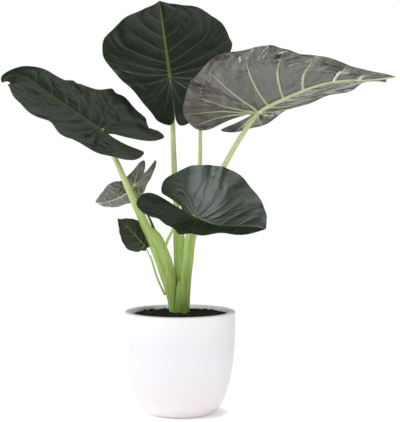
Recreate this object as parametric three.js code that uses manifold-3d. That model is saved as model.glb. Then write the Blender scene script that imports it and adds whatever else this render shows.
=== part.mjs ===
// A potted regal shields alocasia in a round-bottomed planter. Millimetres, +Z up.
// The origin is the middle of the planter's flat foot; +X is the viewer's right, +Y points away.
import * as THREE from 'three';
import { mergeVertices } from 'three/addons/utils/BufferGeometryUtils.js';
import Module from 'manifold-3d';

const wasm = await Module();
wasm.setup();

// Clear space between neighbouring pieces
const GAP = 0.35;

// Planter: straight at the rim, then a quarter ellipse down to a small flat foot
const POT_RADIUS = 111;
const POT_HEIGHT = 205;
const POT_BOWL_HEIGHT = 170;
const POT_FOOT_RADIUS = 60;
const POT_WALL = 12;
const POT_LIP = 3;
const POT_SIDES = 40;
const BOWL_STEPS = 8;
const INSIDE_STEPS = 4;

// Soil: a filled bed that rises a little towards the stems, with a crumbly top
const SOIL_EDGE_HEIGHT = 197;
const SOIL_RISE = 5;
const SOIL_CRUMB = 1.1;
const SOIL_SIDES = 36;
const SOIL_RINGS = 8;
const STALK_FOOT_HEIGHT = 188;

// Blades
const BLADE_THICKNESS = 0.9;
const SINUS_GAP = 1;
const LARGE_BLADE = 260;
const MIDRIB_HALF_WIDTH = 4.2;
const MIDRIB_DEPTH = 3.6;
const KNOT_RADIUS = 6;
const VEIN_DEPTH = 2.2;
const VEIN_GROOVE = 0.6;
const QUILT_RISE = 2.4;
const MARGIN_WAVE = 2.2;
const MARGIN_WAVES = 7;
const BLADE_STEPS = [0.35, 0.7, 1];

// The lines of a half blade count from 0 at the tip, by way of a side vein at each of 1, 2, 3 and so on, to
// the sinus. These are the plain ones before the first vein and round the lobe, and the feet of a ridge.
const TIP_LINES = [0.2, 0.45, 0.7];
const LOBE_LINES = [-0.45, 0.2, 0.3, 0.4, 0.5, 0.87];
const VEIN_FOOT = 0.13;

// A blade is drawn flat, as distances from the midrib and along it, then bent. joint is where its stalk
// meets it; tip points along the midrib and face away from the upper side. Bends are in degrees per 100 mm:
// arch along the midrib in three stretches, curl from the midrib out in two, lobeBend along the basal lobes.
// fold tips each half up from the midrib, in degrees, and lobeFold adds to that at the lobes.
// roots says where the side veins leave the midrib, as shares of the blade's length, ends where they meet the
// margin, as shares of its length from the tip to the sinus, and bow how far they curve towards the tip.
// Pairs are left and right, seen from above with the tip ahead.
const PLAIN_OUTLINE = [
  [0, 1], [0.1, 0.91], [0.33, 0.71], [0.48, 0.48], [0.5, 0.22], [0.38, -0.05],
  [0.27, -0.3], [0.15, -0.44], [0.04, -0.44], [0.02, -0.2], [0, -0.07],
];
const PLAIN_VEINS = {
  roots: [0.65, 0.44, 0.27, 0.14, 0.06, 0.02, 0, 0, 0], bow: [0.3, 0.3],
  ends: [0, 1].map(() => [0.09, 0.15, 0.22, 0.3, 0.39, 0.48, 0.58, 0.68, 0.78]),
};
const SMALL_VEINS = {
  roots: [0.66, 0.36, 0.12, 0, 0], bow: [0.25, 0.25],
  ends: [0, 1].map(() => [0.16, 0.3, 0.44, 0.6, 0.76]),
};
const LEAVES = {
  top: {
    joint: [-22, 75, 678], tip: [-0.11, 0.62, 0.77], face: [-0.03, -0.78, 0.62], sinus: 18,
    arch: [-6, -6, -6], fold: [7, 8], curl: [[-8, -12], [-8, -12]], lobeBend: [-10, -8], lobeFold: [3, 0],
    left: [[0, 261], [17, 240], [62, 210], [116, 150], [133, 102], [124, 49], [73, -44], [47, -92],
      [36, -112], [18, -122], [8, -121], [0.5, -105], [0.5, -82], [2.8, -60], [2, -38], [0, -18]],
    right: [[0, 261], [18, 243], [41, 231], [86, 198], [118, 153], [135, 99], [131, 45], [56, -95],
      [39, -116], [20, -127], [7, -126], [0.5, -109], [0.5, -82], [2.8, -60], [2, -38], [0, -18]],
    roots: [0.65, 0.44, 0.27, 0.14, 0.06, 0.02, 0, 0, 0], bow: [0.35, 0.35],
    ends: [[0.08, 0.13, 0.2, 0.29, 0.38, 0.48, 0.59, 0.69, 0.78],
      [0.08, 0.135, 0.195, 0.27, 0.37, 0.47, 0.565, 0.66, 0.77]],
  },
  left: {
    joint: [-154, -40, 568], tip: [-0.78, 0.35, 0.52], face: [0.59, 0.15, 0.79], sinus: 17,
    arch: [0, 3, -132], fold: [-47, 60], curl: [[25, 10], [-63, 32]], lobeBend: [22, 20], lobeFold: [-8, 6],
    left: [[0, 258], [22, 245], [48, 222], [76, 178], [92, 148], [112, 108], [94, 72], [93, 60], [108, 25],
      [94, -6], [78, -34], [56, -57], [50, -85], [34, -101], [10, -105], [3, -95], [2, -60], [0, -17]],
    right: [[0, 258], [19, 253], [45, 244], [56, 227], [52, 208], [88, 178], [112, 164], [113, 148],
      [135, 121], [168, 101], [163, 82], [168, 60], [157, 20], [146, -8], [108, -54], [104, -80],
      [88, -108], [50, -112], [30, -92], [14, -37], [0, -17]],
    roots: [0.68, 0.5, 0.35, 0.22, 0.11, 0.03, 0, 0, 0], bow: [0.2, 0.15],
    ends: [[0.09, 0.18, 0.27, 0.35, 0.43, 0.5, 0.57, 0.65, 0.78],
      [0.1, 0.15, 0.2, 0.24, 0.3, 0.38, 0.53, 0.65, 0.77]],
  },
  right: {
    joint: [154, -66, 603], tip: [0.65, -0.67, 0.36], face: [-0.12, 0.38, 0.92], sinus: 18,
    arch: [-6, -14, 10], fold: [6, 13], curl: [[15, -30], [-5, -5]], lobeBend: [11, -16], lobeFold: [-7, 23],
    left: [[0, 346], [18, 310], [60, 271], [111, 195], [135, 129], [138, 98], [106, 41], [67, -41], [55, -96],
      [40, -120], [13, -123], [3, -98], [0, -18]],
    right: [[0, 346], [64, 290], [150, 217], [175, 190], [198, 123], [193, 60], [167, -1], [136, -48],
      [108, -98], [87, -122], [49, -130], [27, -106], [15, -42], [0, -18]],
    roots: [0.75, 0.58, 0.35, 0.2, 0.08, 0, 0, 0, 0], bow: [0.3, 0.22],
    ends: [[0.1, 0.16, 0.25, 0.36, 0.46, 0.54, 0.62, 0.69, 0.79],
      [0.05, 0.1, 0.18, 0.26, 0.355, 0.49, 0.72, 0.775, 0.815]],
  },
  front: {
    joint: [32, -150, 401], tip: [0.67, -0.67, -0.33], face: [-0.19, -0.58, 0.79], sinus: 27,
    arch: [29, -1, -13], fold: [40, 9], curl: [[32, 7], [40, -24]], lobeBend: [-36, 13], lobeFold: [-7, -12],
    left: [[0, 217], [14, 213], [30, 205], [76, 154], [106, 88], [106, 10], [91, -37], [69, -80], [51, -123],
      [33, -128], [20, -104], [0, -27]],
    right: [[0, 217], [16, 213], [36, 204], [59, 177], [79, 138], [89, 93], [86, 68], [60, -27], [55, -50],
      [57, -100], [42, -122], [16, -128], [2, -103], [0, -27]],
    roots: [0.6, 0.32, 0.12, 0.04, 0, 0, 0, 0, 0], bow: [0.1, 0.2],
    ends: [[0.05, 0.09, 0.14, 0.2, 0.36, 0.5, 0.61, 0.69, 0.78],
      [0.1, 0.19, 0.28, 0.36, 0.43, 0.5, 0.59, 0.68, 0.78]],
  },
  back: {
    joint: [42, 108, 637], tip: [0.16, 0.95, 0.2], face: [0, -0.2, 0.98], sinus: 12,
    arch: [-20, -30, -34], fold: [4, 4], curl: [[-10, -22], [-10, -22]],
    lobeBend: [-12, -12], lobeFold: [0, 0],
    left: PLAIN_OUTLINE.map(([x, y]) => [165 * x, 165 * y]),
    right: PLAIN_OUTLINE.map(([x, y]) => [158 * x, 165 * y]),
    ...PLAIN_VEINS,
  },
  small_back: {
    joint: [-96, 35, 453], tip: [-0.62, 0.24, -0.75], face: [-0.63, 0.41, 0.66], sinus: 36,
    arch: [69, 26, 116], fold: [33, -22], curl: [[-11, -9], [41, 12]], lobeBend: [79, 65], lobeFold: [1, 9],
    left: [[0, 98], [18, 81], [43, 37], [42, 16], [30, -1], [26, -12], [23, -47], [20, -58], [12, -62],
      [0, -36]],
    right: [[0, 98], [10, 93], [18, 91], [29, 78], [35, 48], [41, 27], [39, 8], [35, 0], [25, -37], [18, -64],
      [10, -68], [0, -36]],
    ...SMALL_VEINS,
  },
  small_front: {
    joint: [-71, -14, 337], tip: [-0.6, -0.29, 0.74], face: [0.69, -0.66, 0.3], sinus: 6,
    arch: [-12, -23, -25], fold: [4, -1], curl: [[-24, -26], [-24, -24]],
    lobeBend: [-10, -10], lobeFold: [0, -1],
    left: [[0, 78], [26, 56], [37, 37], [37, 22], [25, 5], [17, 1], [5, -9], [0, -6]],
    right: [[0, 78], [6, 71], [19, 61], [34, 43], [36, 30], [20, 0], [11, -10], [5, -10], [0, -6]],
    ...SMALL_VEINS,
  },
  young: {
    joint: [18, -48, 428], tip: [0.2, 0.12, 0.97], face: [-0.25, -0.95, 0.15], sinus: 4,
    arch: [-10, -20, -30], fold: [16, 16], curl: [[-20, -30], [-20, -30]],
    lobeBend: [-10, -10], lobeFold: [0, 0],
    left: PLAIN_OUTLINE.map(([x, y]) => [46 * x, 52 * y]),
    right: PLAIN_OUTLINE.map(([x, y]) => [42 * x, 52 * y]),
    ...SMALL_VEINS,
  },
};

// Stalks, from the blade down to the soil: x, y, z, half the width seen from the front, half the depth.
// Their lower thirds are open sheaths, wide and soft edged, that wrap one another at the crown.
const STALKS = {
  top: [
    [-22, 75, 678, 3, 3], [-18, 76, 650, 3, 3], [-16, 70, 590, 4.8, 4.5], [-14, 56, 528, 5.4, 5],
    [-11, 39, 467, 5.8, 5.5], [-7, 22, 407, 6.5, 6.5], [-4, 12, 371, 9, 8], [-2, 9, 347, 11.5, 9],
    [-2, 6, 307, 10.5, 9], [-2, 4, 267, 9.5, 9], [-2, 3, 226, 9, 9], [-2, 3, STALK_FOOT_HEIGHT, 8.5, 8.5],
  ],
  right: [
    [154, -66, 603, 4, 4], [141, -65, 584, 4.4, 4.2], [118, -58, 550, 5, 4.8], [88, -43, 497, 5.2, 5],
    [57, -25, 436, 5.6, 5.4], [37, -11, 386, 6, 6], [25, -4, 348, 6.4, 7], [20, -1, 307, 6.8, 8],
    [15, 0, 267, 7.4, 8.5], [12, 1, 227, 8, 9], [11, 1, STALK_FOOT_HEIGHT, 8, 9],
  ],
  front: [
    [32, -150, 401, 3.6, 3.6], [27, -136, 390, 4, 4], [19, -112, 369, 4.4, 4.4], [14, -88, 348, 4.6, 4.8],
    [12, -62, 322, 4.8, 5], [9, -38, 295, 5, 5.4], [7, -19, 267, 5.4, 6], [6, -9, 238, 6, 6.4],
    [5, -6, STALK_FOOT_HEIGHT, 6.4, 6.4],
  ],
  left: [
    [-154, -40, 568, 3.4, 3.4], [-144, -40, 545, 3.6, 3.6], [-133, -39, 524, 4.8, 4.6],
    [-106, -32, 462, 6.2, 6], [-90, -28, 425, 7, 6.6], [-74, -25, 391, 8.4, 7.2], [-65, -23, 371, 9.5, 8],
    [-54, -21, 357, 14, 9], [-48, -19, 347, 15.2, 9.5], [-41, -16, 329, 16, 10], [-33, -14, 308, 16.5, 10],
    [-27, -12, 288, 16.2, 9.5], [-22, -10, 268, 14.4, 9], [-19, -8, 248, 11.5, 8.5], [-16, -5, 227, 9, 8],
    [-12, -3, STALK_FOOT_HEIGHT, 7, 7],
  ],
  back: [
    [42, 108, 637, 3.2, 3.2], [41, 104, 623, 3.2, 3.2], [41, 93, 569, 3.6, 3.6], [40, 77, 497, 4, 4],
    [37, 60, 436, 4.4, 4.4], [30, 43, 385, 4.8, 4.8], [23, 30, 335, 5.4, 5.4], [17, 21, 285, 6.2, 6.2],
    [12, 15, 235, 7, 7], [10, 12, STALK_FOOT_HEIGHT, 7.5, 7.5],
  ],
  small_back: [
    [-96, 35, 453, 1.8, 1.8], [-94, 34, 450, 1.9, 1.9], [-81, 27, 427, 2, 2], [-65, 14, 397, 2.4, 2.4],
    [-54, -1, 374, 2.8, 2.6], [-45, -14, 352, 3, 2.8], [-38, -19, 329, 3, 2.8],
  ],
  young: [
    [18, -48, 428, 1.7, 1.7], [15, -46, 423, 1.7, 1.7], [2, -40, 402, 2, 2], [-14, -30, 369, 2.5, 2.5],
    [-24, -24, 349, 2.9, 2.8], [-31, -19, 329, 3, 2.9], [-34, -15, 312, 3, 3],
  ],
  small_front: [
    [-71, -14, 337, 1.6, 1.6], [-65, -13, 331, 1.6, 1.6], [-60, -13, 319, 1.7, 1.7],
    [-54, -13, 300, 1.8, 1.8], [-48, -12, 279, 1.9, 1.9], [-40, -11, 259, 2, 2], [-30, -9, 238, 2.2, 2.2],
  ],
};
const STALK_SIDES = 12;
const STALK_REACH = 45;
const JOINT_ROOM_RADII = [10, 30];

// The left stalk's sheath is open: a furrow down its front, between these heights
const FURROW = { stalk: 'left', low: 275, high: 352, angle: -75, width: 28, depth: 0.45 };

// Front sheath: the dark remnant of an older leaf base, a tongue curved round the front of the crown
const TONGUE_AXIS = [2, 0];
const TONGUE_RADIUS = 18;
const TONGUE_THICKNESS = 1.6;
const TONGUE_FOOT = 190;
const TONGUE_TIP = 267;
const TONGUE_TIP_ANGLE = -20;
const TONGUE_LEFT_ANGLE = -48;
const TONGUE_RIGHT_ANGLE = 70;
const TONGUE_ROWS = 8;
const TONGUE_COLUMNS = 10;

const radians = (degrees) => THREE.MathUtils.degToRad(degrees);
const clamp = THREE.MathUtils.clamp;

// The closed solid of a geometry whose shared corners are merged and whose slivers without area are dropped
function solidOf(geometry) {
  const bare = new THREE.BufferGeometry();
  bare.setAttribute('position', geometry.getAttribute('position'));
  bare.setIndex(geometry.index);
  const merged = mergeVertices(bare, 1e-3);
  const corners = merged.index.array;
  const triVerts = [];
  for (let i = 0; i < corners.length; i += 3) {
    const [a, b, c] = corners.slice(i, i + 3);
    if (a !== b && b !== c && c !== a) triVerts.push(a, b, c);
  }
  const vertProperties = merged.getAttribute('position').array;
  const mesh = new wasm.Mesh({ numProp: 3, vertProperties, triVerts: Uint32Array.from(triVerts) });
  return new wasm.Manifold(mesh);
}

function geometryFrom(points, triangles) {
  const geometry = new THREE.BufferGeometry();
  const flat = points.flatMap((p) => [p.x, p.y, p.z]);
  geometry.setAttribute('position', new THREE.Float32BufferAttribute(flat, 3));
  geometry.setIndex(triangles.flat());
  return geometry;
}

function geometryOf(solid) {
  const mesh = solid.getMesh();
  const positions = [];
  for (let i = 0; i < mesh.numVert; i++) {
    const start = i * mesh.numProp;
    positions.push(...mesh.vertProperties.subarray(start, start + 3));
  }
  const geometry = new THREE.BufferGeometry();
  geometry.setAttribute('position', new THREE.Float32BufferAttribute(positions, 3));
  geometry.setIndex([...mesh.triVerts]);
  return geometry;
}

function largestPiece(solid) {
  return solid.decompose().reduce((most, piece) => (piece.volume() > most.volume() ? piece : most));
}

// Gives a sheet of triangles a thickness: above and below are how far each face lies from the sheet
function thicken(points, triangles, above, below) {
  const normals = points.map(() => new THREE.Vector3());
  const edges = new Map();
  for (const [a, b, c] of triangles) {
    const normal = points[b].clone().sub(points[a]).cross(points[c].clone().sub(points[a]));
    for (const corner of [a, b, c]) normals[corner].add(normal);
    for (const [from, to] of [[a, b], [b, c], [c, a]]) {
      if (!edges.delete(`${to} ${from}`)) edges.set(`${from} ${to}`, [from, to]);
    }
  }
  normals.forEach((normal) => normal.normalize());
  const count = points.length;
  const upper = points.map((p, i) => p.clone().addScaledVector(normals[i], above[i]));
  const lower = points.map((p, i) => p.clone().addScaledVector(normals[i], -below[i]));
  const faces = triangles.flatMap(([a, b, c]) => [[a, b, c], [a + count, c + count, b + count]]);
  for (const [from, to] of edges.values()) {
    faces.push([from, from + count, to + count], [from, to + count, to]);
  }
  return geometryFrom([...upper, ...lower], faces);
}

// Walks a distance along a path that leaves at an angle and bends steadily within each stretch
function walk(distance, startAngle, bends) {
  let along = 0;
  let rise = 0;
  let angle = startAngle;
  let begin = 0;
  for (const [end, degreesPer100] of bends) {
    const rate = radians(degreesPer100) / 100;
    const step = clamp(distance, begin, end) - begin;
    const next = angle + rate * step;
    if (Math.abs(rate) < 1e-9) {
      along += step * Math.cos(angle);
      rise += step * Math.sin(angle);
    } else {
      along += (Math.sin(next) - Math.sin(angle)) / rate;
      rise += (Math.cos(angle) - Math.cos(next)) / rate;
    }
    angle = next;
    begin = end;
  }
  return { along, rise, angle };
}

// The bent place of a flat point: x is its distance from the midrib on half 0 (left) or 1 (right)
function bladePoint(leaf, half, x, y) {
  const side = half === 0 ? -1 : 1;
  const length = leaf.left[0][1];
  const far = 3 * length;
  const [near, middle, end] = leaf.arch;
  const spine = y >= 0
    ? walk(y, 0, [[0.4 * length, near], [0.75 * length, middle], [far, end]])
    : walk(-y, 0, [[leaf.sinus, 0], [far, leaf.lobeBend[half]]]);
  const forward = y >= 0 ? spine.along : -spine.along;
  const slope = y >= 0 ? spine.angle : -spine.angle;
  const fold = radians(leaf.fold[half] + leaf.lobeFold[half] * clamp(-y / 60, 0, 1));
  const across = walk(x, fold, [[0.25 * length, leaf.curl[half][0]], [far, leaf.curl[half][1]]]);
  const tip = new THREE.Vector3(...leaf.tip).normalize();
  const face = new THREE.Vector3(...leaf.face);
  face.addScaledVector(tip, -face.dot(tip)).normalize();
  const sideways = tip.clone().cross(face);
  return new THREE.Vector3(...leaf.joint)
    .addScaledVector(sideways, side * across.along)
    .addScaledVector(tip, forward - across.rise * Math.sin(slope))
    .addScaledVector(face, spine.rise + across.rise * Math.cos(slope));
}

// A smooth margin through an outline's points, read by its share of the length from the tip
function marginOf(outline) {
  const corners = outline.map(([x, y]) => new THREE.Vector3(x, y, 0));
  const curve = new THREE.CatmullRomCurve3(corners, false, 'catmullrom', 0.5);
  curve.arcLengthDivisions = 20 * outline.length;
  return (share) => {
    const place = curve.getPointAt(share);
    const clear = SINUS_GAP / 2 * clamp((1 - share) * 30, 0, 1);
    return [share > 0 ? Math.max(place.x, clear) : 0, place.y];
  };
}

// Reads a list of numbers anywhere between its whole places
function valueAt(list, place) {
  const i = Math.min(Math.floor(place), list.length - 2);
  return list[i] + (list[i + 1] - list[i]) * (place - i);
}

// The lines of a half blade in order: each vein's crest, with its two feet where the ridge is wide enough to
// show, one line between neighbouring veins, and plain ones towards the tip and round the lobe
function linesOf(leaf, ridged) {
  const count = leaf.roots.length;
  const plain = [0, ...TIP_LINES, ...LOBE_LINES.map((line) => count + line), count + 1];
  const lines = plain.map((at) => ({ at, kind: 'plain' }));
  for (let vein = 1; vein <= count; vein++) {
    lines.push({ at: vein, kind: 'crest' });
    if (ridged) lines.push({ at: vein - VEIN_FOOT, kind: 'plain' }, { at: vein + VEIN_FOOT, kind: 'plain' });
    if (vein < count - 1) lines.push({ at: vein + 0.5, kind: 'between' });
  }
  return lines.sort((a, b) => a.at - b.at);
}

// A blade with its midrib and side veins raised beneath, the skin between them quilted, and a waved margin
function bladeGeometry(leaf, ridged) {
  const length = leaf.left[0][1];
  const scale = length / LARGE_BLADE;
  const lines = linesOf(leaf, ridged);
  const points = [];
  const above = [];
  const below = [];
  const known = new Map();
  const triangles = [];

  function place(half, margin, line, step) {
    const root = length * valueAt([1, ...leaf.roots, 0], line.at);
    const share = valueAt([0, ...leaf.ends[half], 1], line.at);
    const [endX, endY] = margin(share);
    const reach = Math.hypot(endX, endY - root);
    const ribWidth = MIDRIB_HALF_WIDTH * scale * (1 - 0.7 * root / length);
    const foot = Math.min(0.25, ribWidth / Math.max(reach, 1e-6));
    const along = [0, foot, ...BLADE_STEPS][step];
    const bow = leaf.bow[half] * along * (1 - along) * clamp((0.85 - share) * 6, 0, 1);
    const flat = [endX * along + bow * (endY - root), root + (endY - root) * along - bow * endX];
    const x = Math.max(flat[0], 0);
    const onMidrib = x < 1e-6;
    const key = `${onMidrib ? 'm' : half} ${x.toFixed(3)} ${flat[1].toFixed(3)}`;
    if (known.has(key)) return known.get(key);

    const fade = 1 - along;
    const crest = line.kind === 'crest' ? Math.pow(fade, 0.8) : 0;
    const rib = step === 0 ? 1 - 0.75 * clamp(root / length, 0, 1) : 0;
    const knot = clamp(1.7 - Math.hypot(...flat) / (KNOT_RADIUS * scale), 0, 1);
    const quilt = line.kind === 'between' ? Math.sin(Math.PI * Math.min(1, along * 1.15)) : 0;
    const inner = clamp(along * (1 - along) * 6, 0, 1);
    const wave = Math.sin(2 * Math.PI * MARGIN_WAVES * share + half) * Math.pow(along, 3)
      * clamp(share * 8, 0, 1) * clamp((0.8 - share) * 8, 0, 1);
    const lift = scale * (QUILT_RISE * quilt * inner + MARGIN_WAVE * wave);
    const bent = bladePoint(leaf, half, x, flat[1]);
    const ahead = bladePoint(leaf, half, x, flat[1] + 1).sub(bent);
    const outward = bladePoint(leaf, half, x + 1, flat[1]).sub(bent).multiplyScalar(half === 0 ? -1 : 1);
    bent.addScaledVector(outward.cross(ahead).normalize(), onMidrib ? 0 : lift);
    known.set(key, points.length);
    points.push(bent);
    above.push(BLADE_THICKNESS / 2 - VEIN_GROOVE * scale * Math.max(crest, rib) / 2);
    const ridge = Math.max(VEIN_DEPTH * crest, MIDRIB_DEPTH * rib, MIDRIB_DEPTH * knot);
    below.push(BLADE_THICKNESS / 2 + scale * ridge);
    return known.get(key);
  }

  [leaf.left, leaf.right].forEach((outline, half) => {
    const margin = marginOf(outline);
    const rows = lines.map((line) => [0, 1, ...BLADE_STEPS.map((_, k) => k + 2)]
      .map((step) => place(half, margin, line, step)));
    for (let i = 1; i < rows.length; i++) {
      for (let k = 1; k < rows[i].length; k++) {
        const [a, b, c, d] = [rows[i - 1][k - 1], rows[i - 1][k], rows[i][k], rows[i][k - 1]];
        for (const corners of [[a, c, b], [a, d, c]]) {
          if (new Set(corners).size < 3) continue;
          triangles.push(half === 0 ? corners.reverse() : corners);
        }
      }
    }
  });
  return thicken(points, triangles, above, below);
}

// The room that a stalk leaves under its blade: a round patch of the blade's own surface, thick enough to
// hold the knot where the veins meet
function jointRoom(leaf) {
  const scale = leaf.left[0][1] / LARGE_BLADE;
  const points = [bladePoint(leaf, 0, 0, 0)];
  const triangles = [];
  const spokes = 16;
  JOINT_ROOM_RADII.forEach((radius, ring) => {
    for (let k = 0; k < spokes; k++) {
      const angle = 2 * Math.PI * k / spokes;
      const x = radius * scale * Math.sin(angle);
      points.push(bladePoint(leaf, x < 0 ? 0 : 1, Math.abs(x), radius * scale * Math.cos(angle)));
      const next = (k + 1) % spokes;
      const [outer, inner] = [1 + ring * spokes, 1 + (ring - 1) * spokes];
      if (ring === 0) triangles.push([0, 1 + next, 1 + k]);
      else triangles.push([inner + k, inner + next, outer + next], [inner + k, outer + next, outer + k]);
    }
  });
  const above = points.map(() => 4 * MIDRIB_DEPTH * scale);
  const below = points.map(() => BLADE_THICKNESS / 2 + MIDRIB_DEPTH * scale + GAP);
  return thicken(points, triangles, above, below);
}

// A stalk: rings of a flattened section along a smooth path, one more wherever two places are far apart.
// swell makes it thicker and longer all round.
function stalkGeometry(name, swell = 0) {
  const rows = STALKS[name];
  const path = new THREE.CatmullRomCurve3(rows.map(([x, y, z]) => new THREE.Vector3(x, y, z)));
  const halves = rows.map(([, , , width, depth]) => new THREE.Vector3(width, depth, 0));
  const sizes = new THREE.CatmullRomCurve3(halves);
  const places = rows.flatMap((row, i) => {
    const far = i > 0 && path.points[i].distanceTo(path.points[i - 1]) > STALK_REACH;
    return far ? [i - 0.5, i] : [i];
  });
  const rings = places.length - 1;
  const points = [];
  const triangles = [];
  for (let ring = 0; ring <= rings; ring++) {
    const t = places[ring] / (rows.length - 1);
    const centre = path.getPoint(t);
    const size = sizes.getPoint(t);
    const down = path.getTangent(t);
    const across = down.clone().cross(new THREE.Vector3(0, 1, 0)).normalize();
    const depth = across.clone().cross(down).normalize();
    if (ring === 0) centre.addScaledVector(down, -swell);
    if (ring === rings) centre.addScaledVector(down, swell);
    const open = name === FURROW.stalk
      ? clamp(Math.min(FURROW.high - centre.z, centre.z - FURROW.low) / 12, 0, 1) : 0;
    for (let k = 0; k < STALK_SIDES; k++) {
      const angle = 360 * k / STALK_SIDES;
      const off = Math.abs(((angle - FURROW.angle + 540) % 360) - 180);
      const radius = 1 - open * FURROW.depth * Math.max(0, 1 - off / FURROW.width);
      const width = -(size.x * radius + swell) * Math.cos(radians(angle));
      const thick = (size.y * radius + swell) * Math.sin(radians(angle));
      points.push(centre.clone().addScaledVector(across, width).addScaledVector(depth, thick));
    }
    if (ring === 0) continue;
    for (let k = 0; k < STALK_SIDES; k++) {
      const next = (k + 1) % STALK_SIDES;
      const upper = (ring - 1) * STALK_SIDES;
      const lower = ring * STALK_SIDES;
      triangles.push([upper + k, lower + next, lower + k], [upper + k, upper + next, lower + next]);
    }
  }
  const last = rings * STALK_SIDES;
  for (let k = 1; k < STALK_SIDES - 1; k++) {
    triangles.push([0, k + 1, k], [last, last + k, last + k + 1]);
  }
  return geometryFrom(points, triangles);
}

// The radius of the planter's outside at a height
function potRadius(z) {
  if (z >= POT_BOWL_HEIGHT) return POT_RADIUS;
  const drop = 1 - z / POT_BOWL_HEIGHT;
  return POT_FOOT_RADIUS + (POT_RADIUS - POT_FOOT_RADIUS) * Math.sqrt(1 - drop * drop);
}

// A solid of revolution about Z from [radius, height] pairs
function revolve(profile, sides) {
  const geometry = new THREE.LatheGeometry(profile.map(([r, z]) => new THREE.Vector2(r, z)), sides);
  return geometry.rotateX(Math.PI / 2);
}

// Heights up the bowl, closer together towards the foot, where the wall turns under
function bowlHeights(bottom, steps) {
  return Array.from({ length: steps + 1 }, (_, i) => {
    const turn = Math.PI / 2 * (1 - i / steps);
    return bottom + (POT_BOWL_HEIGHT - bottom) * (1 - Math.sin(turn));
  });
}

function potGeometry() {
  const inner = POT_RADIUS - POT_WALL;
  const lip = [0, 45, 90, 135, 180].map((angle) => {
    const middle = angle <= 90 ? POT_RADIUS - POT_LIP : inner + POT_LIP;
    const turn = radians(angle);
    return [middle + POT_LIP * Math.cos(turn), POT_HEIGHT - POT_LIP + POT_LIP * Math.sin(turn)];
  });
  const outside = bowlHeights(0, BOWL_STEPS).map((z) => [potRadius(z), z]);
  const inside = bowlHeights(POT_WALL, INSIDE_STEPS).map((z) => [potRadius(z - POT_WALL) - POT_WALL, z]);
  return revolve([[0, 0], ...outside, ...lip, ...inside.reverse(), [0, POT_WALL]], POT_SIDES);
}

// The crumbly height of the soil's top at a place
function soilHeight(x, y) {
  const reach = Math.hypot(x, y) / (POT_RADIUS - POT_WALL);
  const crumb = Math.sin(0.31 * x + 1.7 * Math.sin(0.13 * y)) * Math.cos(0.27 * y + 0.9 * Math.sin(0.19 * x));
  return SOIL_EDGE_HEIGHT + SOIL_RISE * (1 - reach * reach) + SOIL_CRUMB * crumb;
}

function soilGeometry() {
  const edge = POT_RADIUS - POT_WALL - GAP;
  const inside = bowlHeights(POT_WALL, INSIDE_STEPS)
    .map((z) => [potRadius(z - POT_WALL) - POT_WALL - GAP, z + GAP]);
  const top = Array.from({ length: SOIL_RINGS }, (_, i) => [edge * (1 - i / SOIL_RINGS), SOIL_EDGE_HEIGHT]);
  const floor = POT_WALL + GAP;
  const geometry = revolve([[0, floor], ...inside, ...top, [0, SOIL_EDGE_HEIGHT]], SOIL_SIDES);
  const places = geometry.getAttribute('position');
  for (let i = 0; i < places.count; i++) {
    if (places.getZ(i) > SOIL_EDGE_HEIGHT - 1) places.setZ(i, soilHeight(places.getX(i), places.getY(i)));
  }
  return geometry;
}

function tongueGeometry() {
  const points = [];
  const triangles = [];
  for (let row = 0; row <= TONGUE_ROWS; row++) {
    const share = row / TONGUE_ROWS;
    const spread = Math.sqrt(1 - 0.995 * share * share) * (1 - 0.35 * share);
    const radius = TONGUE_RADIUS - 2 * share;
    for (let column = 0; column <= TONGUE_COLUMNS; column++) {
      const across = column / TONGUE_COLUMNS;
      const wide = TONGUE_LEFT_ANGLE + (TONGUE_RIGHT_ANGLE - TONGUE_LEFT_ANGLE) * across;
      const angle = radians(TONGUE_TIP_ANGLE + (wide - TONGUE_TIP_ANGLE) * spread);
      points.push(new THREE.Vector3(
        TONGUE_AXIS[0] + radius * Math.sin(angle),
        TONGUE_AXIS[1] - radius * Math.cos(angle),
        TONGUE_FOOT + (TONGUE_TIP - TONGUE_FOOT) * share,
      ));
      if (row === 0 || column === 0) continue;
      const a = points.length - 1;
      const below = a - TONGUE_COLUMNS - 1;
      triangles.push([below - 1, below, a], [below - 1, a, a - 1]);
    }
  }
  const half = points.map(() => TONGUE_THICKNESS / 2);
  return thicken(points, triangles, half, half);
}

function finish(color, roughness) {
  return new THREE.MeshStandardMaterial({ color, roughness, metalness: 0 });
}

const upperGreen = finish(0x1f2a22, 0.4);
const underTaupe = finish(0x4a4a40, 0.35);
const stalkGreen = finish(0xa3c16c, 0.5);
const darkStalkGreen = finish(0x4c6a24, 0.5);
const sheathGreen = finish(0x5a7a22, 0.55);
const potWhite = finish(0xf4f2f1, 0.7);
const soilBrown = finish(0x1c1613, 0.95);

const BLADE_FINISH = { right: underTaupe, small_back: underTaupe };
const RIDGED = ['top', 'left', 'right', 'front'];
const STALK_FINISH = { small_back: darkStalkGreen };

const plant = new THREE.Group();

function add(name, geometry, material) {
  const mesh = new THREE.Mesh(geometry, material);
  mesh.name = name;
  plant.add(mesh);
}

add('pot', potGeometry(), potWhite);

// Each stalk ends under its own blade and gives way to the stalks that are listed before it
const roomForStalks = [];
for (const name of Object.keys(STALKS)) {
  let stalk = solidOf(stalkGeometry(name)).subtract(solidOf(jointRoom(LEAVES[name])));
  for (const room of roomForStalks) stalk = stalk.subtract(room);
  add(`stalk_${name}`, geometryOf(largestPiece(stalk)), STALK_FINISH[name] ?? stalkGreen);
  roomForStalks.push(solidOf(stalkGeometry(name, GAP)));
}

let tongue = solidOf(tongueGeometry());
let soil = solidOf(soilGeometry()).subtract(solidOf(tongueGeometry()));
for (const room of roomForStalks) {
  tongue = tongue.subtract(room);
  soil = soil.subtract(room);
}
add('front_sheath', geometryOf(largestPiece(tongue)), sheathGreen);
add('soil', geometryOf(largestPiece(soil)), soilBrown);

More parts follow.
